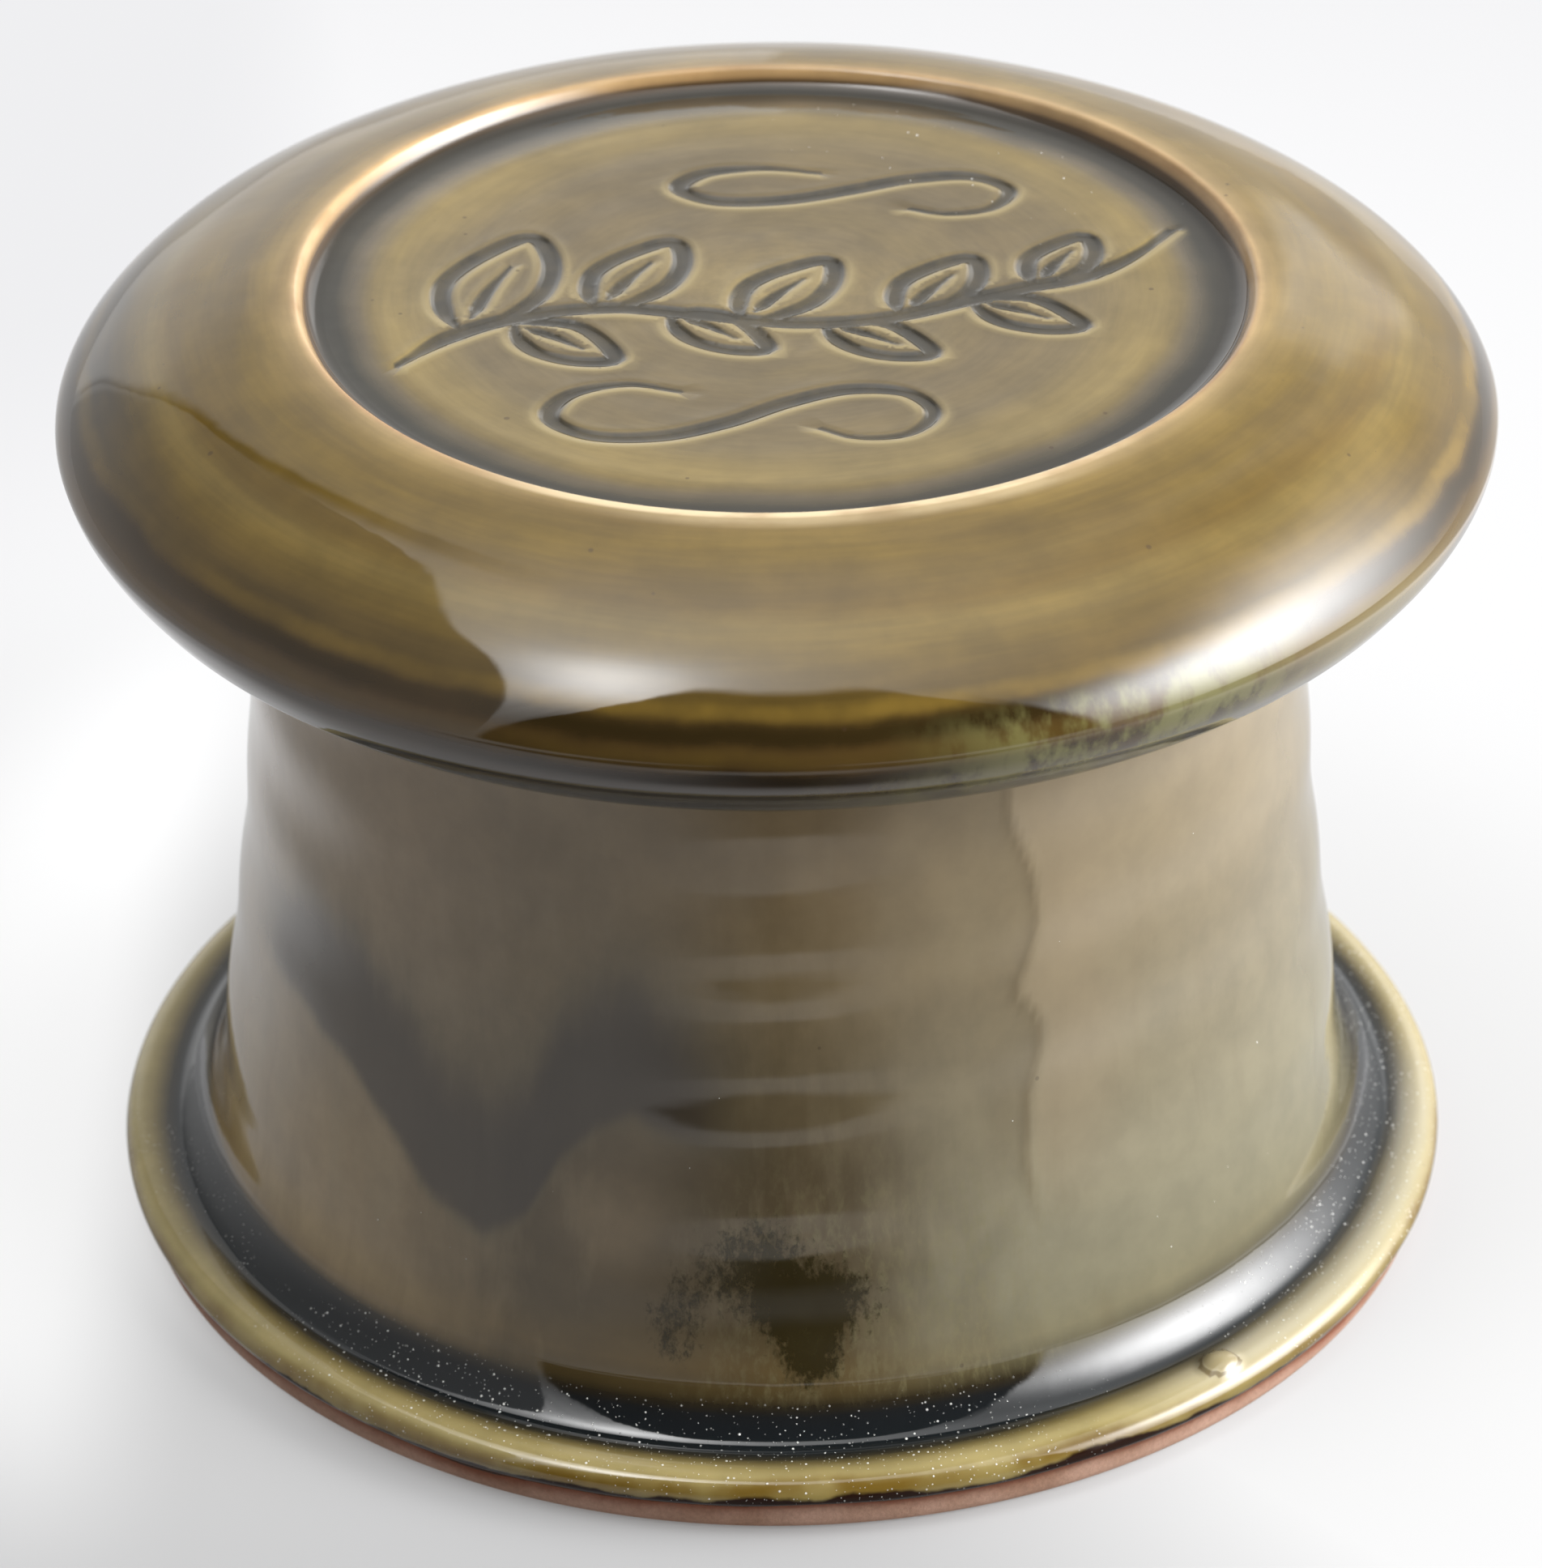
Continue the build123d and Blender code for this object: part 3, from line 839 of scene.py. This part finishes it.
# bare clay on the seat under the lid
seat = g.window(arc, 82.3, 97.0, 0.35)
grain = g.noise(v, 2.2, 5.0, 0.7)
clay_col = g.mix(g.smooth(0.3, 0.7, g.noise(v, 0.12, 4.0)), CLAY, CLAY_DARK)
clay_col = g.scale(clay_col, g.smooth(0.2, 0.8, grain, 0.85, 1.12))
hot = g.band(arc, 82.4, 0.5)
clay_col = g.mix(hot, clay_col, CLAY_HOT)
col = g.mix(seat, col, clay_col)
dust = g.specks(v, 1.3, 0.17, 0.30) * g.window(az, 118.0, 178.0, 14.0) * g.window(arc, 22.0, 37.0, 3.0)
dust = dust * g.smooth(0.45, 0.6, g.noise(v, 0.25, 2.0))
col = g.mix(dust, col, (.62, .62, .60))
rough = g.m("ADD", g.smooth(0.3, 0.7, g.noise(v, 0.3, 3.0), 0.022, 0.045), seat * 0.7 + dust * 0.8, clamp=True)
rough = g.m("ADD", rough, inside * 0.12)
rough = g.m("ADD", rough, g.window(arc, 38.9, 40.7, 0.4) * 0.16)
calm = 1.0 - g.window(arc, 53.0, 73.0, 4.0) * 0.72
peel = (g.noise(v, 0.16, 2.0, 0.45) * 0.045 + g.noise(v, 0.9, 2.0, 0.5) * 0.003) * calm
height = peel * (1.0 - seat) + seat * grain * 0.06 + dust * 0.04
g.glaze(col, rough, height, seat)
lid.data.materials.append(mat_lid)

# ---------------------------------------------------------------- pot glaze
mat_pot, g = material("glaze_pot")
v, x, y, z, r, az, ux, uy = g.coords()
arc = g.attr("arc")
gl = g.attr("gl")
wob = g.noise(v, 0.06, 2.0) - 0.5
sarc = arc + wob * (g.smooth(13.5, 22, arc) * 5.0 + g.window(arc, 6.0, 13.5, 1.0) * 1.1)
# painted light: on the soft box's side the light rim colour reaches further into the groove
sarc = sarc - 0.8 * g.window(az, 20.0, 84.0, 10.0) * g.window(arc, 6.8, 11.0, 0.8)
FOOT_STOPS = [(0, (.14, .10, .030)), (4.2, (.112, .082, .014)), (5.0, (.190, .148, .048)), (6.2, (.258, .212, .090)), (7.4, (.235, .190, .080)),
              (8.3, (.140, .108, .040)), (9.1, (.030, .024, .012)), (10.0, (.006, .008, .009)), (13.2, (.006, .007, .008)),
              (14.1, (.016, .012, .006))]
RIM_STOPS = [(78.5, (.150, .110, .056)), (80.5, (.215, .150, .070)), (82.0, (.24, .17, .085)), (88.0, (.115, .083, .036)),
             (100.0, (.085, .064, .032)), (150.0, (.070, .056, .030)), (170.0, (.030, .027, .018)), (200.0, (.050, .042, .024))]
# brown over the middle, warm beige to the left, sage to the right; the left's beige is partly the glaze and partly
# painted light, lighter where light falls on that side
A = g.ramp(sarc, FOOT_STOPS + [
    (15.2, (.058, .040, .014)), (17.0, (.086, .058, .022)), (20.0, (.070, .050, .022)), (26.0, (.062, .045, .022)),
    (34.0, (.068, .050, .026)), (44.0, (.090, .068, .036)), (52.0, (.122, .090, .046)), (60.0, (.142, .103, .054)),
    (70.0, (.155, .112, .060))] + RIM_STOPS, 200.0)
B = g.ramp(sarc, FOOT_STOPS + [
    (15.1, (.150, .104, .046)), (16.8, (.205, .148, .070)), (20.0, (.198, .147, .082)), (26.0, (.178, .132, .074)),
    (34.0, (.165, .124, .072)), (44.0, (.170, .130, .078)), (52.0, (.190, .142, .086)), (60.0, (.188, .138, .082)),
    (70.0, (.175, .126, .072))] + RIM_STOPS, 200.0)
Cc = g.ramp(sarc, FOOT_STOPS + [
    (15.2, (.058, .050, .026)), (17.0, (.116, .101, .056)), (20.0, (.124, .111, .068)), (26.0, (.142, .127, .081)),
    (34.0, (.138, .119, .074)), (44.0, (.126, .103, .060)), (52.0, (.140, .110, .061)), (60.0, (.160, .124, .068)),
    (70.0, (.158, .120, .066))] + RIM_STOPS, 200.0)
# runs of glaze down the wall
down = g.vec(ux * 12.0, uy * 12.0, z * 0.075)
down2 = g.vec(ux * 36.0, uy * 36.0, z * 0.20)
t1 = g.noise(down, 1.0, 4.0, 0.55, 0.3)
t2 = g.noise(v, 0.035, 2.0)
t3 = g.noise(down2, 1.0, 4.0, 0.65, 0.2)
stir = (t1 - 0.5) * 0.9 + (t2 - 0.5) * 0.7 + (t3 - 0.5) * 0.3
beige_and_painted_light = g.m("ADD", g.window(az, -118.0, -34.0, 14.0) + g.window(az, 128.0, 156.0, 16.0) * 0.8, stir, clamp=True)
wr = g.m("ADD", g.window(az, 14.0, 112.0, 14.0) + g.window(az, -168.0, -140.0, 12.0) * 0.7, stir * 0.9, clamp=True)
col = g.mix(beige_and_painted_light, A, B)
col = g.mix(wr, col, Cc)
low = 1.0 - g.smooth(24.0, 44.0, arc)
mid = g.window(az, -6.0, 26.0, 9.0) * low
# mottle where the runs thicken near the foot
mott = g.noise(g.vec(ux * 62.0, uy * 62.0, z * 0.55), 1.0, 5.0, 0.72, 0.4)
above = g.smooth(13.4, 15.6, arc)
col = g.mix(mid * above * g.smooth(0.44, 0.68, mott) * 0.55, col, (.125, .110, .056))
# dark blots: those at the back and sides are spots in the glaze; the group at the front, low on the wall, is painted
# reflection of the dark zone in front of the pot
blots_and_painted_reflection = g.band(az, 2.5, 7.0) * g.band(arc, 23.4, 4.0) + g.band(az, 2.5, 3.2) * g.band(arc, 18.2, 3.6) * 0.8
blots_and_painted_reflection = blots_and_painted_reflection + g.band(az, -1.0, 5.0) * g.band(arc, 29.5, 3.6) * 0.42 + g.band(az, -10.5, 3.6) * g.band(arc, 21.0, 4.6) * 0.62
blots_and_painted_reflection = blots_and_painted_reflection + g.band(az, -6.5, 4.4) * g.band(arc, 27.4, 3.4) * 0.46
blots_and_painted_reflection = blots_and_painted_reflection + g.band(az, 122.0, 9.0) * g.band(arc, 22.0, 6.0) + g.band(az, 116.0, 4.0) * g.band(arc, 31.0, 6.0) * 0.6
blots_and_painted_reflection = blots_and_painted_reflection + g.band(az, -152.0, 6.0) * g.band(arc, 20.0, 4.0) * 0.9
frost = g.noise(g.vec(ux * 95.0, uy * 95.0, z * 1.3), 1.0, 4.0, 0.75, 0.5)
edge_n = (mott - 0.5) * 1.0 + (frost - 0.5) * 1.0 + (g.noise(v, 0.16, 3.0) - 0.5) * 0.5
blots_and_painted_reflection = g.smooth(0.34, 0.74, blots_and_painted_reflection + edge_n * g.smooth(0.02, 0.30, blots_and_painted_reflection))
col = g.mix(blots_and_painted_reflection * above * 0.92, col, (.016, .011, .001))
# the lighter brown lobe between the blot and the dark tongue, partly glaze and partly painted reflection
lobe = g.band(az, -17.0, 5.0) * g.band(arc, 30.0, 5.5)
col = g.mix(lobe * 0.55, col, (.150, .108, .058))
col = g.scale(col, g.smooth(0.25, 0.75, g.noise(v, 0.22, 4.0, 0.6), 0.91, 1.09))
# darker glaze from above, ending in points
sl = g.attr("slate")
sl_edge = g.smooth(0.10, 0.92, sl + (g.noise(down, 1.6, 4.0, 0.6) - 0.5) * 0.34 * g.smooth(0.02, 0.2, sl))
sl_tone = g.mix(g.smooth(0.30, 0.80, sl), (.066, .054, .031), (.036, .029, .022))
col = g.mix(sl_edge * 0.86, col, sl_tone)
run = g.attr("run")
drip = g.attr("drip")
beside = g.smooth(0.1, 1.5, drip) * (1.0 - g.smooth(3.0, 13.0, drip)) * g.window(arc, 31.0, 72.0, 7.0)
col = g.mix(beside * 0.28, col, (.225, .170, .105))
before = g.smooth(-9.0, -0.4, drip) * (1.0 - g.smooth(-0.4, 0.2, drip)) * g.window(arc, 31.0, 72.0, 7.0)
col = g.mix(before * 0.22, col, (.070, .048, .020))
col = g.mix(run * 0.48, col, (.070, .046, .017))
# the glaze ends in a dark roll, then bare clay
jag = (g.noise(v, 0.55, 3.0, 0.55) - 0.5) * 0.55
gle = gl + jag
roll_n = g.noise(v, 0.12, 3.0)
roll_up = g.smooth(0.30, 0.70, roll_n, 0.45, 1.15)
dark_roll = g.smooth(-0.45, -0.15, gle) * (1.0 - g.smooth(roll_up, roll_up + 0.4, gle))
amber = g.window(gle, 1.0, 2.6, 0.7) * g.smooth(0.35, 0.62, roll_n, 0.25, 0.95)
on_foot = g.window(arc, -58.0, 12.0, 1.0)
col = g.mix(amber * on_foot, col, (.105, .062, .008))
col = g.mix(dark_roll * on_foot, col, (.012, .005, .003))
clay = (1.0 - g.smooth(-0.32, -0.18, gle)) * on_foot
grain = g.noise(v, 2.4, 5.0, 0.7)
clay_col = g.mix(g.smooth(0.35, 0.7, g.noise(v, 0.10, 4.0)), (.33, .205, .150), (.235, .135, .090))
clay_col = g.mix(g.band(gle, -0.35, 0.85) * 0.92, clay_col, (.135, .036, .014))
clay_col = g.mix(g.band(arc, 0.35, 0.4) * 0.8, clay_col, CLAY_HOT)
clay_col = g.mix(g.specks(v, 0.9, 0.16, 0.25) * 0.6, clay_col, (.07, .04, .025))
clay_col = g.scale(clay_col, g.smooth(0.2, 0.8, grain, 0.84, 1.14))
rim_clay = g.window(arc, 82.6, 85.2, 0.35)
clay_all = g.m("MAXIMUM", clay, rim_clay)
# painted light: the foot rim is lighter cream on the soft box's side
col = g.mix(g.window(gl, 2.2, 5.2, 0.7) * g.window(az, 38.0, 150.0, 10.0) * 0.35, col, (.36, .31, .19))
# painted highlight: a whitish sheen on the rim and groove where the soft box reflects
col = g.mix(g.window(arc, 6.4, 9.4, 0.7) * g.window(az, 36.0, 92.0, 10.0) * 0.28, col, (.46, .45, .41))
col = g.mix(clay_all, col, clay_col)
# iron specks and pinholes
sp = g.specks(v, 0.34, 0.09, 0.10)
col = g.mix(sp * 0.4 * (1.0 - clay_all), col, (.03, .018, .01))
# the bead is clear, so it shows the gold below it
bead = g.attr("bead")
col = g.mix(g.window(bead, 0.08, 0.42, 0.07) * 0.75, col, (.085, .055, .018))
col = g.mix(g.smooth(0.40, 0.62, bead) * 0.6, col, (.21, .165, .075))
# dust settled in the groove and on the foot
foot_top = g.window(arc, 4.6, 14.0, 1.0)
thick = g.smooth(0.40, 0.62, g.noise(v, 0.09, 3.0)) * 0.5 + g.window(az, 52.0, 128.0, 14.0) + g.window(az, -52.0, 22.0, 10.0) * 0.7
thick = g.m("MINIMUM", thick * g.smooth(0.30, 0.60, g.noise(v, 0.35, 2.0), 0.35, 1.0), 1.0)
dust = g.specks(v, 1.9, 0.24, 0.50) * g.smooth(0.25, 0.75, thick)
dust = g.m("MAXIMUM", dust, g.specks(v, 3.1, 0.22, 0.60) * g.smooth(0.10, 0.7, thick))
dust = dust * foot_top
dust = g.m("MAXIMUM", dust, g.specks(v, 0.8, 0.075, 0.08) * g.smooth(14.0, 20.0, arc) * (1.0 - g.smooth(78.0, 80.0, arc)))
col = g.mix(dust * 0.9, col, (.66, .66, .63))
rough = g.m("ADD", g.smooth(0.3, 0.7, g.noise(v, 0.3, 3.0), 0.028, 0.055), clay_all * 0.72 + dust * 0.8, clamp=True)
rough = rough + g.window(az, 22.0, 120.0, 10.0) * g.window(arc, 7.5, 12.5, 1.2) * 0.045
peel = g.noise(v, 0.14, 2.0, 0.45) * 0.05 + g.noise(v, 0.8, 2.0, 0.5) * 0.0035
height = peel * (1.0 - clay_all) + clay_all * grain * 0.07 + dust * 0.05
g.glaze(col, rough, height, clay_all, dark_roll * on_foot * 0.42)
pot.data.materials.append(mat_pot)

# ---------------------------------------------------------------- glaze on the cup
mat_cup, g = material("glaze_cup")
v, x, y, z, r, az, ux, uy = g.coords()
arc = g.attr("arc")
A = g.ramp(z, [
    (22, (.30, .20, .10)), (24.6, (.30, .21, .095)), (26.5, (.20, .14, .055)), (32, (.125, .088, .04)), (48, (.10, .073, .036)),
    (66, (.085, .062, .032)), (74, (.05, .038, .02)), (77, (.035, .028, .018))], 100.0)
B = g.ramp(z, [
    (22, (.33, .24, .13)), (24.6, (.32, .24, .12)), (26.5, (.22, .165, .08)), (32, (.165, .135, .078)), (48, (.15, .122, .074)),
    (66, (.12, .10, .06)), (74, (.06, .05, .03)), (77, (.04, .034, .024))], 100.0)
t1 = g.noise(g.vec(ux * 9.0, uy * 9.0, z * 0.08), 1.0, 4.0, 0.55, 0.3)
t2 = g.noise(v, 0.05, 3.0)
col = g.mix(g.m("ADD", (t1 - 0.5) * 1.6 + (t2 - 0.5) * 0.8, 0.42, clamp=True), A, B)
col = g.scale(col, g.smooth(0.25, 0.75, g.noise(g.vec(ux * 4.0, uy * 4.0, z * 0.9), 1.0, 3.0), 0.86, 1.14))
col = g.mix(g.specks(v, 0.4, 0.13, 0.2) * 0.5, col, (.03, .018, .01))
lip = 1.0 - g.smooth(0.5, 1.15, g.m("ABSOLUTE", arc + (g.noise(v, 0.5, 3.0) - 0.5) * 0.6))
grain = g.noise(v, 2.2, 5.0, 0.7)
clay_col = g.mix(g.smooth(0.3, 0.7, g.noise(v, 0.12, 4.0)), CLAY, CLAY_DARK)
clay_col = g.scale(clay_col, g.smooth(0.2, 0.8, grain, 0.85, 1.12))
col = g.mix(lip, col, clay_col)
rough = g.m("ADD", g.smooth(0.3, 0.7, g.noise(v, 0.3, 3.0), 0.03, 0.06), lip * 0.7, clamp=True)
height = (g.noise(v, 0.15, 2.0, 0.45) * 0.05) * (1.0 - lip) + lip * grain * 0.06
g.glaze(col, rough, height, lip)
bell.data.materials.append(mat_cup)

# ================================================================ the frame
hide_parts("crock_body")
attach(pot, "crock")
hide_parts("lid_cap")
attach(lid, "lid")
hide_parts("butter_bell")
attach(bell, "lid")

# ================================================================ studio
scene = bpy.context.scene
scene.view_settings.view_transform = "Standard"
scene.view_settings.look = "None"
scene.view_settings.exposure = 0.0
scene.view_settings.gamma = 1.0
scene.cycles.max_bounces = 6
scene.cycles.diffuse_bounces = 3
scene.cycles.glossy_bounces = 3

BACK = (0.865, 0.865, 0.88)
world = bpy.data.worlds.new("studio")
world.use_nodes = True
scene.world = world
g = Graph(world.node_tree)
tc = g.node("ShaderNodeTexCoord")
dx, dy, dz = g.xyz(Sock(g, tc.outputs["Generated"]))
el = g.m("MULTIPLY", g.m("ARCSINE", g.m("MINIMUM", g.m("MAXIMUM", dz, -1.0), 1.0)), 180 / math.pi)
az = g.m("MULTIPLY", g.m("ARCTAN2", dx, g.m("MULTIPLY", dy, -1.0)), 180 / math.pi)
tau = math.pi / 180.0


def away(az0, el0):
    """Angle in degrees between this direction and the given one."""
    e = math.radians(el0)
    c = g.m("MULTIPLY", g.m("COSINE", g.m("MULTIPLY", el, tau)), g.m("COSINE", g.m("MULTIPLY", az - az0, tau))) * math.cos(e)
    c = c + dz * math.sin(e)
    return g.m("MULTIPLY", g.m("ARCCOSINE", g.m("MINIMUM", g.m("MAXIMUM", c, -1.0), 1.0)), 1.0 / tau)


# a grey flat on the left, a dark flat behind the camera, a soft box on the right, and a lamp overhead
left_u = g.m("MINIMUM", g.m("ABSOLUTE", (az + 95.5) / 50.5), 1.0)
left_top = g.m("POWER", 1.0 - g.m("POWER", left_u, 4.0), 0.36) * 62.5
left = g.window(az, -146.0, -45.0, 0.8) * (1.0 - g.smooth(-0.7, 0.7, el - left_top))
side_u = g.m("MINIMUM", g.m("ABSOLUTE", (az - 2.0) / 46.5), 1.0)
dark_top = g.m("POWER", 1.0 - g.m("POWER", side_u, 6.0), 0.3) * 73.0
dark = g.window(az, -44.0, 48.0, 0.8) * (1.0 - g.smooth(-1.5, 1.5, el - dark_top))
over = g.m("MAXIMUM", g.smooth(44.0, 74.0, el), g.window(az, -138.0, -50.0, 8.0)) * (1.0 - dark) * (1.0 - left)
right = g.window(az, 48.0, 150.0, 1.5) * (1.0 - over)
behind = (1.0 - g.window(az, -146.0, 150.0, 1.5)) * (1.0 - over)
gap = (1.0 - dark) * (1.0 - left)
L = left * (0.74 - 0.28 * g.smooth(8.0, 36.0, el)) + dark * 0.05 + right * (1.00 - 0.45 * g.window(az, 118.0, 143.0, 6.0) * g.smooth(14.0, 24.0, el)) + behind * (0.85 + 0.40 * g.window(el, -5.0, 24.0, 6.0) * (1.0 - g.smooth(60.0, 140.0, az))) + over * 1.70
L = L + g.window(az, -50.0, -44.0, 1.0) * (1.0 - over) * (1.0 - left) * 0.74
d_top = away(-52.0, 69.0)
L = L + gap * (g.band(d_top, 0.0, 8.0) * 10.0 + g.band(d_top, 0.0, 22.0) * 3.0)
rise = g.m("POWER", math.e, g.m("MULTIPLY", g.m("POWER", g.m("MAXIMUM", el - 31.0, 0.0) / 14.5, 2.6), -1.0))
fall = g.m("POWER", math.e, g.m("MULTIPLY", g.m("POWER", g.m("MAXIMUM", 31.0 - el, 0.0) / 19.0, 1.8), -1.0))
across = g.band(az, 83.0, 27.0) * g.window(az, 48.0, 175.0, 1.5)
L = L + across * rise * fall * 23.0 + across * (1.0 - g.smooth(5.0, 28.0, el)) * 3.0
L = L + g.window(az, 151.0, 166.0, 3.0) * g.window(el, 12.0, 29.0, 4.0) * 1.15
L = g.m("MAXIMUM", L, 0.03)
col_w = g.mix(dark, (1.0, 1.0, 1.0), (1.0, 0.95, 0.88))
bg = g.node("ShaderNodeBackground")
g.put(bg.inputs[0], col_w)
g.put(bg.inputs[1], L)
plain = g.node("ShaderNodeBackground")
plain.inputs[0].default_value = (*BACK, 1)
plain.inputs[1].default_value = 1.0
lp = g.node("ShaderNodeLightPath")
mx = g.node("ShaderNodeMixShader")
g.t.links.new(lp.outputs["Is Camera Ray"], mx.inputs[0])
g.t.links.new(bg.outputs[0], mx.inputs[1])
g.t.links.new(plain.outputs[0], mx.inputs[2])
wo = g.node("ShaderNodeOutputWorld")
g.t.links.new(mx.outputs[0], wo.inputs[0])

# table: a round white sheet that fades into the backdrop
ring_r = [0.0] + list(np.geomspace(0.03, 1.6, 24))
bm = bmesh.new()
prev = None
for i, rr in enumerate(ring_r):
    cur = [bm.verts.new((rr * math.cos(a), rr * math.sin(a), 0.0)) for a in np.linspace(0, 2 * math.pi, 96, endpoint=False)] if rr else \
        [bm.verts.new((0, 0, 0))]
    if prev is not None:
        for a in range(96):
            b = (a + 1) % 96
            if len(prev) == 1:
                bm.faces.new((prev[0], cur[a], cur[b]))
            else:
                bm.faces.new((prev[a], cur[a], cur[b], prev[b]))
    prev = cur
me = bpy.data.meshes.new("table")
bm.to_mesh(me)
bm.free()
table = bpy.data.objects.new("table", me)
scene.collection.objects.link(table)
mat_t, g = material("table_paper")
tc = g.node("ShaderNodeTexCoord")
px, py, pz_ = g.xyz(Sock(g, tc.outputs["Object"]))
pr = g.m("SQRT", px * px + py * py)
lp = g.node("ShaderNodeLightPath")
cam_ray = Sock(g, lp.outputs["Is Camera Ray"])
# in front of the dark flat the table falls into shade; on the soft box's side it is burnt out
front = g.smooth(-0.165, -0.195, py) * g.window(px, -0.20, 0.18, 0.02)
front = g.m("MAXIMUM", front, g.band(px, 0.004, 0.034) * g.smooth(-0.066, -0.088, py) * (1.0 - g.smooth(-0.124, -0.138, py)) * 0.95)
unseen = 1.0 - cam_ray
alb = g.m("ADD", 0.245, g.m("MULTIPLY", front * unseen, -0.225))
alb_c = g.node("ShaderNodeCombineColor")
for i, k in enumerate((1.0, 1.0, 1.01)):
    g.put(alb_c.inputs[i], alb * k)
df = g.node("ShaderNodeBsdfDiffuse")
g.t.links.new(alb_c.outputs[0], df.inputs[0])
em = g.node("ShaderNodeEmission")
em.inputs[0].default_value = (*BACK, 1)
near = 1.0 - g.smooth(0.16, 0.23, pr)
glow = g.smooth(0.07, 0.20, px) * (near * 2.1 + 0.35) * unseen
glow = glow + (1.0 - g.smooth(-0.10, -0.05, px)) * g.smooth(-0.03, 0.02, py) * (1.0 - g.smooth(0.095, 0.14, pr)) * unseen * 0.6
# painted light: emission seen by the camera that lifts the table's shadows, strongest behind, to the right and close by
# the left of the foot
painted_floor_light = g.m("MINIMUM", g.smooth(-0.09, -0.01, py) * 0.40 + g.smooth(0.0, 0.07, px) * 0.36 + 0.02, 0.42)
painted_floor_light = painted_floor_light + (1.0 - g.smooth(-0.064, -0.048, px)) * g.smooth(-0.075, -0.025, py) * (1.0 - g.smooth(0.075, 0.115, pr)) * 0.26
fade = g.m("MAXIMUM", g.smooth(0.09, 0.36, pr), g.smooth(0.084, 0.16, pr) * (1.0 - g.smooth(-0.04, 0.03, py)))
fade = g.m("MAXIMUM", fade, g.smooth(0.084, 0.18, pr) * (1.0 - g.smooth(-0.07, -0.03, px))) * cam_ray
g.put(em.inputs[1], glow + cam_ray * fade)
fill = g.node("ShaderNodeEmission")
fill.inputs[0].default_value = (1.0, 1.0, 1.0, 1)
g.put(fill.inputs[1], painted_floor_light * cam_ray * (1.0 - fade) + unseen * (1.0 - front) * 0.26)
keep_d = g.node("ShaderNodeMixShader")
g.put(keep_d.inputs[0], fade)
g.t.links.new(df.outputs[0], keep_d.inputs[1])
blank = g.node("ShaderNodeEmission")
blank.inputs[1].default_value = 0.0
g.t.links.new(blank.outputs[0], keep_d.inputs[2])
ad = g.node("ShaderNodeAddShader")
g.t.links.new(keep_d.outputs[0], ad.inputs[0])
g.t.links.new(em.outputs[0], ad.inputs[1])
mx = g.node("ShaderNodeAddShader")
g.t.links.new(ad.outputs[0], mx.inputs[0])
g.t.links.new(fill.outputs[0], mx.inputs[1])
o = g.node("ShaderNodeOutputMaterial")
g.t.links.new(mx.outputs[0], o.inputs[0])
table.data.materials.append(mat_t)

# camera, solved from the outline of the lid and the foot
pitch, yaw, rho = math.radians(32.13), math.radians(-0.0765), math.radians(-0.5245)
D, elv, zt = 541.08, math.radians(30.61), -32.618
C = Vector((0.0, -D * math.cos(elv), zt + D * math.sin(elv) + 86.0)) * 0.001
fwd = Vector((math.sin(yaw) * math.cos(pitch), math.cos(yaw) * math.cos(pitch), -math.sin(pitch)))
rt = Vector((math.cos(yaw), -math.sin(yaw), 0.0))
up = rt.cross(fwd)
rr_ = rt * math.cos(rho) + up * math.sin(rho)
uu = -rt * math.sin(rho) + up * math.cos(rho)
cam_data = bpy.data.cameras.new("camera")
cam_data.sensor_width = 36.0
cam_data.lens = 7843.3 * 36.0 / 1936.0
cam = bpy.data.objects.new("camera", cam_data)
M = Matrix.Identity(4)
for i in range(3):
    M[i][0], M[i][1], M[i][2], M[i][3] = rr_[i], uu[i], -fwd[i], C[i]
cam.matrix_world = M
scene.collection.objects.link(cam)
scene.camera = cam
cam_data.clip_start, cam_data.clip_end = 0.01, 20.0
focus = bpy.data.objects.new("focus", None)
focus.location = (0.0, -0.045, 0.045)
scene.collection.objects.link(focus)
cam_data.dof.use_dof = True
cam_data.dof.focus_object = focus
cam_data.dof.aperture_fstop = 45.0
